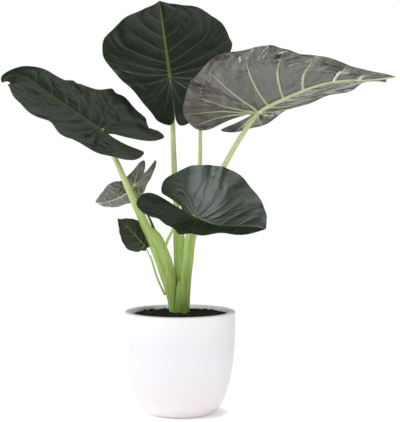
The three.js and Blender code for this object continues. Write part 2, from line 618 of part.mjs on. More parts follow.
for (const name of Object.keys(LEAVES)) {
  add(`blade_${name}`, bladeGeometry(LEAVES[name], RIDGED.includes(name)), BLADE_FINISH[name] ?? upperGreen);
}

export default plant;
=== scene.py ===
import math

import bpy
import numpy as np
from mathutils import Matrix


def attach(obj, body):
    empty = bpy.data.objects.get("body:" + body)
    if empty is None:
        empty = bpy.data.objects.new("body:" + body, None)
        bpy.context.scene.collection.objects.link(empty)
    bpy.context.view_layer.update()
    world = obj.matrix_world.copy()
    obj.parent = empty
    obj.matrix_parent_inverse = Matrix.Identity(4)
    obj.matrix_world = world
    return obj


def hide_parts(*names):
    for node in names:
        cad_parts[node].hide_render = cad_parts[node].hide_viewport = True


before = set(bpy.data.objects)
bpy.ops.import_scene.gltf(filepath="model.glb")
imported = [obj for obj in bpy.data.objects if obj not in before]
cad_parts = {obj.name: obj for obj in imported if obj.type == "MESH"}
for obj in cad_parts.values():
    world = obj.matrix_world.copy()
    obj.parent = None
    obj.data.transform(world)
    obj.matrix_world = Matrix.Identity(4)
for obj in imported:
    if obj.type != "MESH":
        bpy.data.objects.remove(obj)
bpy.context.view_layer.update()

# View and light
# The camera looks a little down at the plant from two and a half metres, in a white studio. Soft boxes stand
# in front on both sides, low on the left for the sheen of the front leaf, and low and high behind. The white
# floor glows, as a lit studio floor does, except in a painted shadow at the planter's foot.
PHOTO_HEIGHT = 422
FOCAL_PIXELS = 1250
SENSOR = 36
CAMERA_PLACE = (0.040, -2.500, 0.520)
CAMERA_TILT = 2.62

camera_data = bpy.data.cameras.new("camera")
camera_data.sensor_width = SENSOR
camera_data.lens = FOCAL_PIXELS / PHOTO_HEIGHT * SENSOR
camera = bpy.data.objects.new("camera", camera_data)
camera.location = CAMERA_PLACE
camera.rotation_euler = (math.radians(90 - CAMERA_TILT), 0, 0)
bpy.context.scene.collection.objects.link(camera)
bpy.context.scene.camera = camera


class Paint:
    """A socket among a material's nodes. Arithmetic on it adds Math nodes, and node() adds other kinds."""

    def __init__(self, tree, socket=None):
        self.tree = tree
        self.socket = socket

    def node(self, kind, settings=None, inputs=None, output=0):
        """Adds a node, sets it, and fills its sockets, which go by name or number. Gives its output."""
        made = self.tree.nodes.new(kind)
        for name, value in (settings or {}).items():
            setattr(made, name, value)
        names = [socket.name if socket.enabled else "" for socket in made.inputs]
        for name, value in (inputs or {}).items():
            socket = made.inputs[name if isinstance(name, int) else names.index(name)]
            if isinstance(value, Paint):
                self.tree.links.new(value.socket, socket)
            else:
                socket.default_value = value
        shown = [socket for socket in made.outputs if socket.enabled]
        if not shown:
            return None
        if isinstance(output, int):
            return Paint(self.tree, shown[output])
        return Paint(self.tree, next(socket for socket in shown if socket.name == output))

    def math(self, operation, other=0.0):
        return self.node("ShaderNodeMath", {"operation": operation}, {0: self, 1: other})

    def __add__(self, other):
        return self.math("ADD", other)

    def __mul__(self, other):
        return self.math("MULTIPLY", other)

    def __sub__(self, other):
        return self.math("SUBTRACT", other)

    def __rsub__(self, other):
        return self.node("ShaderNodeMath", {"operation": "SUBTRACT"}, {0: other, 1: self})

    __radd__ = __add__
    __rmul__ = __mul__

    def within(self, low, high):
        """0 below low, 1 above high, smooth between."""
        settings = {"interpolation_type": "SMOOTHSTEP"}
        return self.node("ShaderNodeMapRange", settings, {"Value": self, "From Min": low, "From Max": high})

    def mix(self, low, high):
        """Goes from one colour to another as this value goes from 0 to 1."""
        colours = {"Factor": self, "A": low, "B": high}
        return self.node("ShaderNodeMix", {"data_type": "RGBA"}, colours)

    def place(self):
        """Where a point of the piece lies in the frame."""
        return self.node("ShaderNodeTexCoord", output="Object")

    def part(self, axis):
        """The X, Y or Z of a vector."""
        return self.node("ShaderNodeSeparateXYZ", inputs={0: self}, output=axis)

    def vector(self, x, y, z=0.0):
        return self.node("ShaderNodeCombineXYZ", inputs={"X": x, "Y": y, "Z": z})

    def read(self, name, output="Fac"):
        """What add_values() stored on the piece."""
        return self.node("ShaderNodeAttribute", {"attribute_name": name}, output=output)

    def noise(self, vector, scale, detail=3.0, roughness=0.5):
        inputs = {"Vector": vector, "Scale": scale, "Detail": detail, "Roughness": roughness}
        return self.node("ShaderNodeTexNoise", inputs=inputs)

    def bump(self, height, distance, strength=1.0):
        inputs = {"Height": height, "Distance": distance, "Strength": strength}
        return self.node("ShaderNodeBump", inputs=inputs)

    def finish(self, **sockets):
        """The shader that ends the material."""
        inputs = {name.replace("_", " "): value for name, value in sockets.items()}
        shader = self.node("ShaderNodeBsdfPrincipled", inputs=inputs)
        self.node("ShaderNodeOutputMaterial", inputs={"Surface": shader})


def new_finish(name):
    """An empty material, and the paint that adds nodes to it."""
    material = bpy.data.materials.new(name)
    material.use_nodes = True
    material.node_tree.nodes.clear()
    return material, Paint(material.node_tree)


# An edge that bends by more degrees than this is shaded crisp.
CRISP_EDGE = 50


def new_piece(name, points, faces, finishes, face_finish=None):
    """A smooth shaded object of triangles. face_finish picks one of its finishes for each of them."""
    mesh = bpy.data.meshes.new(name)
    mesh.vertices.add(len(points))
    mesh.vertices.foreach_set("co", np.asarray(points, np.float32).ravel())
    mesh.loops.add(len(faces) * 3)
    mesh.loops.foreach_set("vertex_index", np.asarray(faces, np.int32).ravel())
    mesh.polygons.add(len(faces))
    mesh.polygons.foreach_set("loop_start", np.arange(0, len(faces) * 3, 3, dtype=np.int32))
    for finish in finishes:
        mesh.materials.append(finish)
    if face_finish is not None:
        mesh.polygons.foreach_set("material_index", np.asarray(face_finish, np.int32))
    mesh.update(calc_edges=True)
    mesh.validate()
    mesh.set_sharp_from_angle(angle=math.radians(CRISP_EDGE))
    piece = bpy.data.objects.new(name, mesh)
    bpy.context.scene.collection.objects.link(piece)
    return piece


FLOOR_RADIUS = 0.9
FLOOR_FADES = (0.42, 0.80)
FLOOR_SIDES = 96
FLOOR_WHITE = (0.93, 0.93, 0.93, 1)
FLOOR_GLOW = (0.61, 0.61, 0.61, 1)
# Painted shadow: the glow is painted dimmer and a little warmer around a point just right of the foot.
SHADOW_GLOW = (0.16, 0.144, 0.1408, 1)
SHADOW_PLACE = (0.014, -0.004, 0)
SHADOW_FADES = (0.064, 0.102)

floor_finish, paint = new_finish("white_floor")
place = paint.place()
far = paint.node("ShaderNodeVectorMath", {"operation": "LENGTH"}, {0: place}, output="Value")
places = {0: place, 1: SHADOW_PLACE}
from_shadow = paint.node("ShaderNodeVectorMath", {"operation": "DISTANCE"}, places, output="Value")
glow = from_shadow.within(*SHADOW_FADES).mix(SHADOW_GLOW, FLOOR_GLOW)
white = paint.node("ShaderNodeBsdfPrincipled", inputs={
    "Base Color": FLOOR_WHITE, "Roughness": 1.0, "Specular IOR Level": 0.0,
    "Emission Color": glow, "Emission Strength": 1.0,
})
clear = paint.node("ShaderNodeBsdfTransparent")
faded = paint.node("ShaderNodeMixShader", inputs={0: far.within(*FLOOR_FADES), 1: white, 2: clear})
paint.node("ShaderNodeOutputMaterial", inputs={"Surface": faded})
turn = np.linspace(0, 2 * np.pi, FLOOR_SIDES, endpoint=False)
rim = np.column_stack([FLOOR_RADIUS * np.cos(turn), FLOOR_RADIUS * np.sin(turn), 0 * turn])
slices = [(0, 1 + k, 1 + (k + 1) % FLOOR_SIDES) for k in range(FLOOR_SIDES)]
floor = new_piece("floor", np.vstack([[0, 0, 0], rim]), slices, [floor_finish])


def add_soft_box(name, place, aim, size, watts, tint=(1, 1, 1)):
    """A glowing rectangle that faces its aim and that the camera doesn't see."""
    light = bpy.data.lights.new(name, "AREA")
    light.shape = "RECTANGLE"
    light.size, light.size_y = size
    light.energy = watts
    light.color = tint
    box = bpy.data.objects.new(name, light)
    box.location = place
    towards = np.subtract(aim, place)
    flat = math.hypot(towards[0], towards[1])
    box.rotation_euler = (math.atan2(flat, -towards[2]), 0, math.atan2(-towards[0], towards[1]))
    box.visible_camera = False
    bpy.context.scene.collection.objects.link(box)


add_soft_box("front_left", (-1.40, -1.70, 1.90), (0, 0, 0.3), (1.2, 1.2), 12)
add_soft_box("front_right", (1.70, -1.80, 1.60), (0, 0, 0.3), (1.0, 1.0), 17)
add_soft_box("low_left", (-1.65, -0.29, 0.50), (0, -0.15, 0.4), (1.2, 0.8), 9, (0.92, 1, 1.03))
add_soft_box("low_back", (-0.50, 1.15, -0.05), (0.25, 0, 0.65), (0.7, 0.26), 2.6)
add_soft_box("low_back_right", (0.50, 1.15, -0.05), (0.25, 0, 0.65), (0.5, 0.26), 0.8)
add_soft_box("high_back", (0.38, 1.10, 2.40), (0, 0.1, 0.6), (1.5, 1.8), 3.2)

# The room is bright in front, also below the horizon, and dims overhead and behind. What the leaves mirror
# of it is darker there than what lights them, and the camera itself sees plain white. Each pair gives where
# a change begins and ends, for directions of length 1.
ROOM_BRIGHT = 0.62
ROOM_DARK = 0.05
ROOM_DIMS = (-0.7, 0.4)
OVERHEAD_SHARE = 1.1
BACK = (-0.1, 0.35)
HORIZON = (-0.12, -0.02)
DIM_FOR_LIGHT = 0.5

room = bpy.data.worlds.new("room")
room.use_nodes = True
room.node_tree.nodes.clear()
paint = Paint(room.node_tree)
towards = paint.node("ShaderNodeTexCoord", output="Generated")
behind = towards.part("Y")
upward = towards.part("Z")
low_in_front = (1 - behind.within(*BACK)) * (1 - upward.within(*HORIZON))
dark = (behind + upward * OVERHEAD_SHARE).within(*ROOM_DIMS) * (1 - low_in_front)
seen = paint.node("ShaderNodeLightPath", output="Is Camera Ray")
mirrored = paint.node("ShaderNodeLightPath", output="Is Glossy Ray")
shown = paint.node("ShaderNodeBackground", inputs={"Color": (1, 1, 1, 1), "Strength": 1.0})
dimmed = dark * (DIM_FOR_LIGHT + (1 - DIM_FOR_LIGHT) * mirrored)
strength = ROOM_BRIGHT - (ROOM_BRIGHT - ROOM_DARK) * dimmed
fill = paint.node("ShaderNodeBackground", inputs={"Color": (1, 1, 1, 1), "Strength": strength})
both = paint.node("ShaderNodeMixShader", inputs={0: seen, 1: fill, 2: shown})
paint.node("ShaderNodeOutputWorld", inputs={"Surface": both})
bpy.context.scene.world = room
bpy.context.scene.view_settings.view_transform = "Standard"

# Planter
# A matt white planter of fibre clay, cast in one piece: straight at the rim, and rounded like an egg down to
# a small flat foot. Its skin has a faint orange peel. Painted light makes it whiter at the rim, and painted
# shade makes it darker and pinker, in speckles, low on the bowl.
POT_RADIUS = 0.111
POT_HEIGHT = 0.205
POT_BOWL_HEIGHT = 0.170
POT_FOOT_RADIUS = 0.060
POT_WALL = 0.012
POT_LIP = 0.003
POT_SIDES = 144
BOWL_STEPS = 48
LIP_STEP = 15
# Heights over which the bowl is painted darker towards the foot, as painted shade, and whiter towards the
# rim, as painted light.
POT_PAINTED_SHADE = (0.0, 0.14)
POT_PAINTED_LIGHT = (0.13, 0.20)


def pot_radius(z):
    """The outside radius of the planter at a height."""
    drop = 1 - np.minimum(z / POT_BOWL_HEIGHT, 1)
    return POT_FOOT_RADIUS + (POT_RADIUS - POT_FOOT_RADIUS) * np.sqrt(1 - drop * drop)


def bowl_heights(bottom, steps):
    """Heights up the bowl, closer together towards the foot, where the wall turns under."""
    turn = np.pi / 2 * (1 - np.linspace(0, 1, steps + 1))
    return bottom + (POT_BOWL_HEIGHT - bottom) * (1 - np.sin(turn))


def revolve(profile, sides):
    """Points and faces of a closed shape: a profile, with its ends on the upright axis, turned about it."""
    profile = np.asarray(profile)
    turn = np.linspace(0, 2 * np.pi, sides, endpoint=False)
    ring = np.column_stack([np.cos(turn), np.sin(turn)])
    middle = profile[1:-1]
    body = np.concatenate([np.column_stack([r * ring, np.full(sides, z)]) for r, z in middle])
    points = np.vstack([[0, 0, profile[0, 1]], body, [0, 0, profile[-1, 1]]])
    k = np.arange(sides)
    after = (k + 1) % sides
    faces = [np.column_stack([0 * k, 1 + after, 1 + k])]
    for row in range(len(middle) - 1):
        low, high = 1 + row * sides, 1 + (row + 1) * sides
        faces.append(np.column_stack([low + k, low + after, high + after]))
        faces.append(np.column_stack([low + k, high + after, high + k]))
    top = 1 + (len(middle) - 1) * sides
    faces.append(np.column_stack([top + k, top + after, 0 * k + len(points) - 1]))
    return points, np.concatenate(faces)


outside = [(float(pot_radius(z)), z) for z in bowl_heights(0, BOWL_STEPS)]
outside[0] = (POT_FOOT_RADIUS - POT_LIP / 2, 0)
lip = []
for angle in np.radians(np.arange(0, 181, LIP_STEP)):
    middle = POT_RADIUS - POT_LIP if angle <= math.pi / 2 else POT_RADIUS - POT_WALL + POT_LIP
    lip.append((middle + POT_LIP * math.cos(angle), POT_HEIGHT - POT_LIP + POT_LIP * math.sin(angle)))
inside = [(float(pot_radius(z - POT_WALL)) - POT_WALL, z) for z in bowl_heights(POT_WALL, BOWL_STEPS)[::-1]]
points, faces = revolve([(0, 0), *outside, *lip, *inside, (0, POT_WALL)], POT_SIDES)


def colour(red, green, blue):
    """A colour for a shader from the 0 to 255 values it should show."""
    shares = [value / 255 for value in (red, green, blue)]
    straight = [share / 12.92 if share < 0.04 else ((share + 0.055) / 1.055) ** 2.4 for share in shares]
    return (*straight, 1.0)


pot_finish, paint = new_finish("matt_white")
place = paint.place()
speck = paint.noise(place, scale=60, detail=4)
peel = paint.noise(place, scale=900, detail=2)
height = place.part("Z")
# Painted shade darkens and pinks the bowl low down, in speckles, and painted light whitens it at the rim.
painted_shade = (1 - height.within(*POT_PAINTED_SHADE)) * (0.8 + 0.4 * speck)
shaded_low = painted_shade.mix(colour(240, 239, 243), colour(224, 218, 219))
paint.finish(
    Base_Color=height.within(*POT_PAINTED_LIGHT).mix(shaded_low, colour(253, 252, 254)),
    Roughness=0.42 + 0.16 * speck,
    Normal=paint.bump(peel, distance=0.0002, strength=0.5),
)
pot = new_piece("planter", points, faces, [pot_finish])
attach(pot, "root")
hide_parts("pot")

# Soil
# Dark peaty potting mix that fills the planter and rises a little towards the stalks. It lies loose in the
# bowl, and its uneven top is broken into crumbs, which are scattered from a seeded draw.
SOIL_GAP = 0.00035
SOIL_EDGE_HEIGHT = 0.197
SOIL_RISE = 0.005
SOIL_HUMPS = 0.0008
SOIL_GRAINS = 0.0006
SOIL_RADIUS = POT_RADIUS - POT_WALL - SOIL_GAP
SOIL_SIDES = 160
SOIL_RINGS = 60
SOIL_STEPS = 12


def soil_height(x, y):
    """The height of the top of the soil: a low mound with humps and grains on it."""
    reach = np.hypot(x, y) / (POT_RADIUS - POT_WALL)
    x, y = 1000 * x, 1000 * y
    humps = np.sin(0.31 * x + 1.7 * np.sin(0.13 * y)) * np.cos(0.27 * y + 0.9 * np.sin(0.19 * x))
    grains = np.sin(1.3 * x + 2.1 * np.sin(0.7 * y)) * np.cos(1.1 * y + 1.6 * np.sin(0.9 * x))
    return SOIL_EDGE_HEIGHT + SOIL_RISE * (1 - reach * reach) + SOIL_HUMPS * humps + SOIL_GRAINS * grains


heights = bowl_heights(POT_WALL, SOIL_STEPS)
walls = [(float(pot_radius(z - POT_WALL)) - POT_WALL - SOIL_GAP, z + SOIL_GAP) for z in heights]
top = [(SOIL_RADIUS * (1 - k / SOIL_RINGS), SOIL_EDGE_HEIGHT) for k in range(SOIL_RINGS)]
points, faces = revolve([(0, POT_WALL + SOIL_GAP), *walls, *top, (0, SOIL_EDGE_HEIGHT)], SOIL_SIDES)
high = points[:, 2] > SOIL_EDGE_HEIGHT - 0.001
points[high, 2] = soil_height(points[high, 0], points[high, 1])

soil_finish, paint = new_finish("dark_soil")
place = paint.place()
grain = paint.noise(place, scale=420, detail=6, roughness=0.7)
patch = paint.noise(place, scale=90, detail=3)
paint.finish(
    Base_Color=(patch * grain).within(0.12, 0.45).mix(colour(14, 11, 9), colour(58, 43, 34)),
    Roughness=0.85 + 0.1 * patch,
    Normal=paint.bump(grain, distance=0.0015),
)
soil = new_piece("soil_bed", points, faces, [soil_finish])
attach(soil, "root")
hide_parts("soil")

# Each crumb is a lump with ten corners, mostly small, squeezed and turned at random and sunk into the bed.
CRUMBS = 620
CRUMB_SIZES = (0.0012, 0.0042)
CRUMB_EDGE = 0.004
CRUMB_LIFT = 0.1

draw = np.random.default_rng(7)
lump = np.array([
    (1, 0, 0), (0, 1, 0), (-1, 0, 0), (0, -1, 0), (0.7, 0.7, 0.6), (-0.7, 0.6, 0.7), (-0.6, -0.7, 0.7),
    (0.7, -0.7, 0.6), (0, 0, 1.1), (0, 0, -1),
], float)
lump_faces = np.array([
    (0, 4, 7), (4, 8, 7), (1, 5, 4), (5, 8, 4), (2, 6, 5), (6, 8, 5), (3, 7, 6), (7, 8, 6),
    (0, 1, 4), (1, 2, 5), (2, 3, 6), (3, 0, 7), (1, 0, 9), (2, 1, 9), (3, 2, 9), (0, 3, 9),
])
points, faces = [], []
for k in range(CRUMBS):
    distance = (SOIL_RADIUS - CRUMB_EDGE) * math.sqrt(draw.uniform(0.02, 1))
    around = draw.uniform(0, 2 * math.pi)
    x, y = distance * math.cos(around), distance * math.sin(around)
    size = CRUMB_SIZES[0] + (CRUMB_SIZES[1] - CRUMB_SIZES[0]) * draw.uniform(0, 1) ** 2.5
    squeeze = size * draw.uniform((0.7, 0.6, 0.4), (1.2, 1.0, 0.8))
    turn = draw.uniform(0, 2 * math.pi)
    shape = lump * draw.uniform(0.8, 1.2, lump.shape) * squeeze
    turned = np.column_stack([
        shape[:, 0] * math.cos(turn) - shape[:, 1] * math.sin(turn),
        shape[:, 0] * math.sin(turn) + shape[:, 1] * math.cos(turn),
        shape[:, 2],
    ])
    faces.append(lump_faces + len(lump) * k)
    points.append(turned + (x, y, soil_height(x, y) + CRUMB_LIFT * size))
crumbs = new_piece("soil_crumbs", np.concatenate(points), np.concatenate(faces), [soil_finish])
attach(crumbs, "root")

# Stalks
# Each leaf stands on its own fleshy green stalk. The large ones widen below into sheaths that press together
# as the crown. The left one's is open along its front, and three thin young stalks spring from it.

# Rows run from the blade down, in millimetres: x, y, z, half the width seen from the front, half the depth.
STALKS = {
    "top": [
        (-22, 75, 678, 3, 3), (-18, 76, 650, 3, 3), (-16, 70, 590, 4.8, 4.5), (-14, 56, 528, 5.4, 5),
        (-11, 39, 467, 5.8, 5.5), (-7, 22, 407, 6.5, 6.5), (-4, 12, 371, 9, 8), (-2, 9, 347, 11.5, 9),
        (-2, 6, 307, 10.5, 9), (-2, 4, 267, 9.5, 9), (-2, 3, 226, 9, 9), (-2, 3, 188, 8.5, 8.5),
    ],
    "right": [
        (154, -66, 603, 4, 4), (141, -65, 584, 4.4, 4.2), (118, -58, 550, 5, 4.8), (88, -43, 497, 5.2, 5),
        (57, -25, 436, 5.6, 5.4), (37, -11, 386, 6, 6), (25, -4, 348, 6.4, 7), (20, -1, 307, 6.8, 8),
        (15, 0, 267, 7.4, 8.5), (12, 1, 227, 8, 9), (11, 1, 188, 8, 9),
    ],
    "front": [
        (32, -150, 401, 3.6, 3.6), (27, -136, 390, 4, 4), (19, -112, 369, 4.4, 4.4),
        (14, -88, 348, 4.6, 4.8), (12, -62, 322, 4.8, 5), (9, -38, 295, 5, 5.4), (7, -19, 267, 5.4, 6),
        (6, -9, 238, 6, 6.4), (5, -6, 188, 6.4, 6.4),
    ],
    "left": [
        (-154, -40, 568, 3.4, 3.4), (-144, -40, 545, 3.6, 3.6), (-133, -39, 524, 4.8, 4.6),
        (-106, -32, 462, 6.2, 6), (-90, -28, 425, 7, 6.6), (-74, -25, 391, 8.4, 7.2),
        (-65, -23, 371, 9.5, 8), (-54, -21, 357, 14, 9), (-48, -19, 347, 15.2, 9.5),
        (-41, -16, 329, 16, 10), (-33, -14, 308, 16.5, 10), (-27, -12, 288, 16.2, 9.5),
        (-22, -10, 268, 14.4, 9), (-19, -8, 248, 11.5, 8.5), (-16, -5, 227, 9, 8), (-12, -3, 188, 7, 7),
    ],
    "back": [
        (42, 108, 637, 3.2, 3.2), (41, 104, 623, 3.2, 3.2), (41, 93, 569, 3.6, 3.6), (40, 77, 497, 4, 4),
        (37, 60, 436, 4.4, 4.4), (30, 43, 385, 4.8, 4.8), (23, 30, 335, 5.4, 5.4),
        (17, 21, 285, 6.2, 6.2), (12, 15, 235, 7, 7), (10, 12, 188, 7.5, 7.5),
    ],
    "small_back": [
        (-96, 35, 453, 1.8, 1.8), (-94, 34, 450, 1.9, 1.9), (-81, 27, 427, 2, 2),
        (-65, 14, 397, 2.4, 2.4), (-54, -1, 374, 2.8, 2.6), (-45, -14, 352, 3, 2.8),
        (-38, -19, 329, 3, 2.8),
    ],
    "young": [
        (18, -48, 428, 1.7, 1.7), (15, -46, 423, 1.7, 1.7), (2, -40, 402, 2, 2),
        (-14, -30, 369, 2.5, 2.5), (-24, -24, 349, 2.9, 2.8), (-31, -19, 329, 3, 2.9),
        (-34, -15, 312, 3, 3),
    ],
    "small_front": [
        (-71, -14, 337, 1.6, 1.6), (-65, -13, 331, 1.6, 1.6), (-60, -13, 319, 1.7, 1.7),
        (-54, -13, 300, 1.8, 1.8), (-48, -12, 279, 1.9, 1.9), (-40, -11, 259, 2, 2),
        (-30, -9, 238, 2.2, 2.2),
    ],
}
STALK_SIDES = 40
STALK_STEP = 0.005
RIDGE_RISE = 0.012
FINE_RIDGE_RISE = 0.008

# The open furrow of the sheath: on which stalk, between which heights, where around it and how far to each
# side, in degrees, and how much of the stalk's thickness it takes.
FURROW = {
    "stalk": "left", "low": 0.275, "high": 0.352, "fade": 0.012, "angle": -75, "width": 28, "depth": 0.45,
}


def cubic(start, end, out, into, u):
    """Points and slopes at u, from 0 to 1, of a curve between two points with the slopes out and into."""
    a = 2 * start - 2 * end + out + into
    b = -3 * start + 3 * end - 2 * out - into
    return start + out * u + b * u ** 2 + a * u ** 3, out + 2 * b * u + 3 * a * u ** 2


def smooth_path(points, shares):
    """Points and slopes at shares of a smooth curve through the given points, however uneven their gaps."""
    points = np.asarray(points, float)
    ends = np.vstack([2 * points[0] - points[1], points, 2 * points[-1] - points[-2]])
    gaps = np.maximum(np.linalg.norm(np.diff(ends, axis=0), axis=1), 1e-6) ** 0.5
    place = np.clip(np.asarray(shares) * (len(points) - 1), 0, len(points) - 1 - 1e-9)
    i = place.astype(int)
    u = (place - i)[:, None]
    p0, p1, p2, p3 = (ends[i + k] for k in range(4))
    g0, g1, g2 = (gaps[i + k][:, None] for k in range(3))
    out = ((p1 - p0) / g0 - (p2 - p0) / (g0 + g1) + (p2 - p1) / g1) * g1
    into = ((p2 - p1) / g1 - (p3 - p1) / (g1 + g2) + (p3 - p2) / g2) * g1
    return cubic(p1, p2, out, into, u)


def unit(vectors):
    """Vectors of length 1 that point the same ways."""
    return vectors / np.maximum(np.linalg.norm(vectors, axis=-1, keepdims=True), 1e-12)


def stalk_shape(name):
    """Points and faces of a stalk, and how far around and along it each point lies, for its finish."""
    rows = np.asarray(STALKS[name]) / 1000
    length = np.linalg.norm(np.diff(rows[:, :3], axis=0), axis=1).sum()
    shares = np.linspace(0, 1, int(length / STALK_STEP) + 1)
    centre, down = smooth_path(rows[:, :3], shares)
    size = smooth_path(np.column_stack([rows[:, 3:], 0 * rows[:, 3]]), shares)[0]
    across = unit(np.cross(down, (0, 1, 0)))
    depth = unit(np.cross(across, down))
    angle = np.linspace(0, 360, STALK_SIDES, endpoint=False)
    radius = np.ones((len(shares), STALK_SIDES))
    if name == FURROW["stalk"]:
        inside = np.minimum(FURROW["high"] - centre[:, 2], centre[:, 2] - FURROW["low"]) / FURROW["fade"]
        off = np.abs((angle - FURROW["angle"] + 540) % 360 - 180) / FURROW["width"]
        radius -= FURROW["depth"] * np.clip(inside, 0, 1)[:, None] * np.clip(1 - off, 0, 1)
    ridges = 1 + RIDGE_RISE * np.cos(np.radians(angle * 9))
    ridges = ridges + FINE_RIDGE_RISE * np.cos(np.radians(angle * 17 + 40))
    radius = radius * ridges
    width = -size[:, :1] * radius * np.cos(np.radians(angle))
    thick = size[:, 1:2] * radius * np.sin(np.radians(angle))
    points = centre[:, None] + across[:, None] * width[..., None] + depth[:, None] * thick[..., None]
    rings = len(shares)
    k = np.arange(STALK_SIDES)
    after = (k + 1) % STALK_SIDES
    faces = []
    for ring in range(1, rings):
        upper, lower = (ring - 1) * STALK_SIDES, ring * STALK_SIDES
        faces.append(np.column_stack([upper + k, lower + after, lower + k]))
        faces.append(np.column_stack([upper + k, upper + after, lower + after]))
    count = rings * STALK_SIDES
    faces.append(np.column_stack([count + 0 * k, after, k]))
    last = (rings - 1) * STALK_SIDES
    faces.append(np.column_stack([count + 1 + 0 * k, last + k, last + after]))
    points = np.vstack([points.reshape(-1, 3), centre[0], centre[-1]])
    around = np.append(np.tile(angle / 360, rings), [0, 0])
    along = np.append(np.repeat(shares * length, STALK_SIDES), [0, length])
    return points, np.concatenate(faces), around, along


def add_values(piece, name, values):
    """Stores a number, or a vector, at every corner of a piece for its finish to read."""
    values = np.asarray(values, np.float32)
    kind = "FLOAT" if values.ndim == 1 else "FLOAT_VECTOR"
    field = "value" if values.ndim == 1 else "vector"
    piece.data.attributes.new(name, kind, "POINT").data.foreach_set(field, values.ravel())


# The heights over which a stalk turns from its crown's colour to the next and then to its top's, and over
# which its dark seams fade.
CROWN_FADES = (0.20, 0.36)
TOP_BEGINS = (0.34, 0.58)
SEAMS_FADE = (0.22, 0.50)


def stalk_paint(name, crown, middle, top, seam):
    """Green skin, paler from the crown to the blade, its pale top partly painted light, with fine lengthwise
    streaks and dark seams.
    """
    finish, paint = new_finish(name)
    around = paint.read("around") * (2 * math.pi)
    wrapped = paint.vector(around.math("COSINE"), around.math("SINE"), paint.read("along") * 4.0)
    streak = paint.noise(wrapped, scale=3.2, detail=4, roughness=0.6)
    fine = paint.noise(wrapped, scale=9, detail=2)
    height = paint.place().part("Z")
    base = height.within(*CROWN_FADES).mix(crown, middle)
    base = height.within(*TOP_BEGINS).mix(base, top)
    pale = (streak.within(0.4, 0.7) * 0.35).mix(base, top)
    low = 1 - height.within(*SEAMS_FADE)
    paint.finish(
        Base_Color=(fine.within(0.54, 0.74) * (0.25 + 0.45 * low)).mix(pale, seam),
        Roughness=0.36 + 0.2 * streak,
        Subsurface_Weight=0.4,
        Subsurface_Radius=(0.006, 0.009, 0.003),
        Subsurface_Scale=1.0,
        Normal=paint.bump(streak + fine * 0.4, distance=0.0006, strength=0.6),
    )
    return finish


# The green stalks' pale top colour is partly painted light, brighter than their own colour where leaves
# shade them.
stalk_finish = stalk_paint(
    "stalk_green", colour(138, 170, 70), colour(172, 200, 102), colour(226, 234, 178), colour(104, 136, 46))
dark_finish = stalk_paint(
    "dark_stalk_green", colour(78, 106, 34), colour(96, 124, 48), colour(112, 140, 62), colour(50, 74, 24))
for name in STALKS:
    points, faces, around, along = stalk_shape(name)
    dark = name == "small_back"
    piece = new_piece(f"{name}_stalk", points, faces, [dark_finish if dark else stalk_finish])
    add_values(piece, "around", around)
    add_values(piece, "along", along)
    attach(piece, "root")
    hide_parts(f"stalk_{name}")

# Front sheath
# What is left of an older leaf base: a dark green tongue of thin flesh that wraps the front of the crown and
# narrows to a pale tip. It stands in the soil and hugs the newer stalks behind it.
TONGUE_AXIS = (0.002, 0.0)
TONGUE_RADIUS = 0.018
TONGUE_THICKNESS = 0.0016
TONGUE_FOOT = 0.190
TONGUE_TIP = 0.267
TONGUE_ANGLES = (-48, -20, 70)
TONGUE_LEAN = 0.002
TONGUE_PALES = (0.205, 0.262)
TONGUE_ROWS = 60
TONGUE_COLUMNS = 60


def thicken(points, faces, above, below):
    """A sheet of triangles made thick: its points, its faces, and 0 for each upper face or 1 for others."""
    corners = points[faces]
    normal = np.cross(corners[:, 1] - corners[:, 0], corners[:, 2] - corners[:, 0])
    normals = np.zeros_like(points)
    for k in range(3):
        np.add.at(normals, faces[:, k], normal)
    normals = unit(normals)
    edges = np.concatenate([faces[:, [0, 1]], faces[:, [1, 2]], faces[:, [2, 0]]]).astype(np.int64)
    count = len(points)
    there = edges[:, 0] * count + edges[:, 1]
    back = edges[:, 1] * count + edges[:, 0]
    rim = edges[~np.isin(there, back)]
    upper = points + normals * above[:, None]
    lower = points - normals * below[:, None]
    under = faces[:, [0, 2, 1]] + count
    wall = np.concatenate([
        np.column_stack([rim[:, 0], rim[:, 0] + count, rim[:, 1] + count]),
        np.column_stack([rim[:, 0], rim[:, 1] + count, rim[:, 1]]),
    ])
    kinds = np.repeat([0, 1, 1], [len(faces), len(under), len(wall)])
    return np.vstack([upper, lower]), np.concatenate([faces, under, wall]), kinds


def grid_faces(rows, columns):
    """Triangles of a grid of points, row by row."""
    start = (np.arange(rows - 1)[:, None] * columns + np.arange(columns - 1)).ravel()
    return np.concatenate([
        np.column_stack([start, start + 1, start + columns + 1]),
        np.column_stack([start, start + columns + 1, start + columns]),
    ])


share = np.linspace(0, 1, TONGUE_ROWS)[:, None]
spread = np.sqrt(1 - 0.995 * share ** 2) * (1 - 0.35 * share)
left_edge, tip_angle, right_edge = TONGUE_ANGLES
wide = left_edge + (right_edge - left_edge) * np.linspace(0, 1, TONGUE_COLUMNS)
angle = np.radians(tip_angle + (wide - tip_angle) * spread)
radius = TONGUE_RADIUS - TONGUE_LEAN * share
points = np.dstack([
    TONGUE_AXIS[0] + radius * np.sin(angle),
    TONGUE_AXIS[1] - radius * np.cos(angle),
    TONGUE_FOOT + (TONGUE_TIP - TONGUE_FOOT) * (share + 0 * angle),
]).reshape(-1, 3)
half = np.full(len(points), TONGUE_THICKNESS / 2)
points, faces, kinds = thicken(points, grid_faces(TONGUE_ROWS, TONGUE_COLUMNS), half, half)

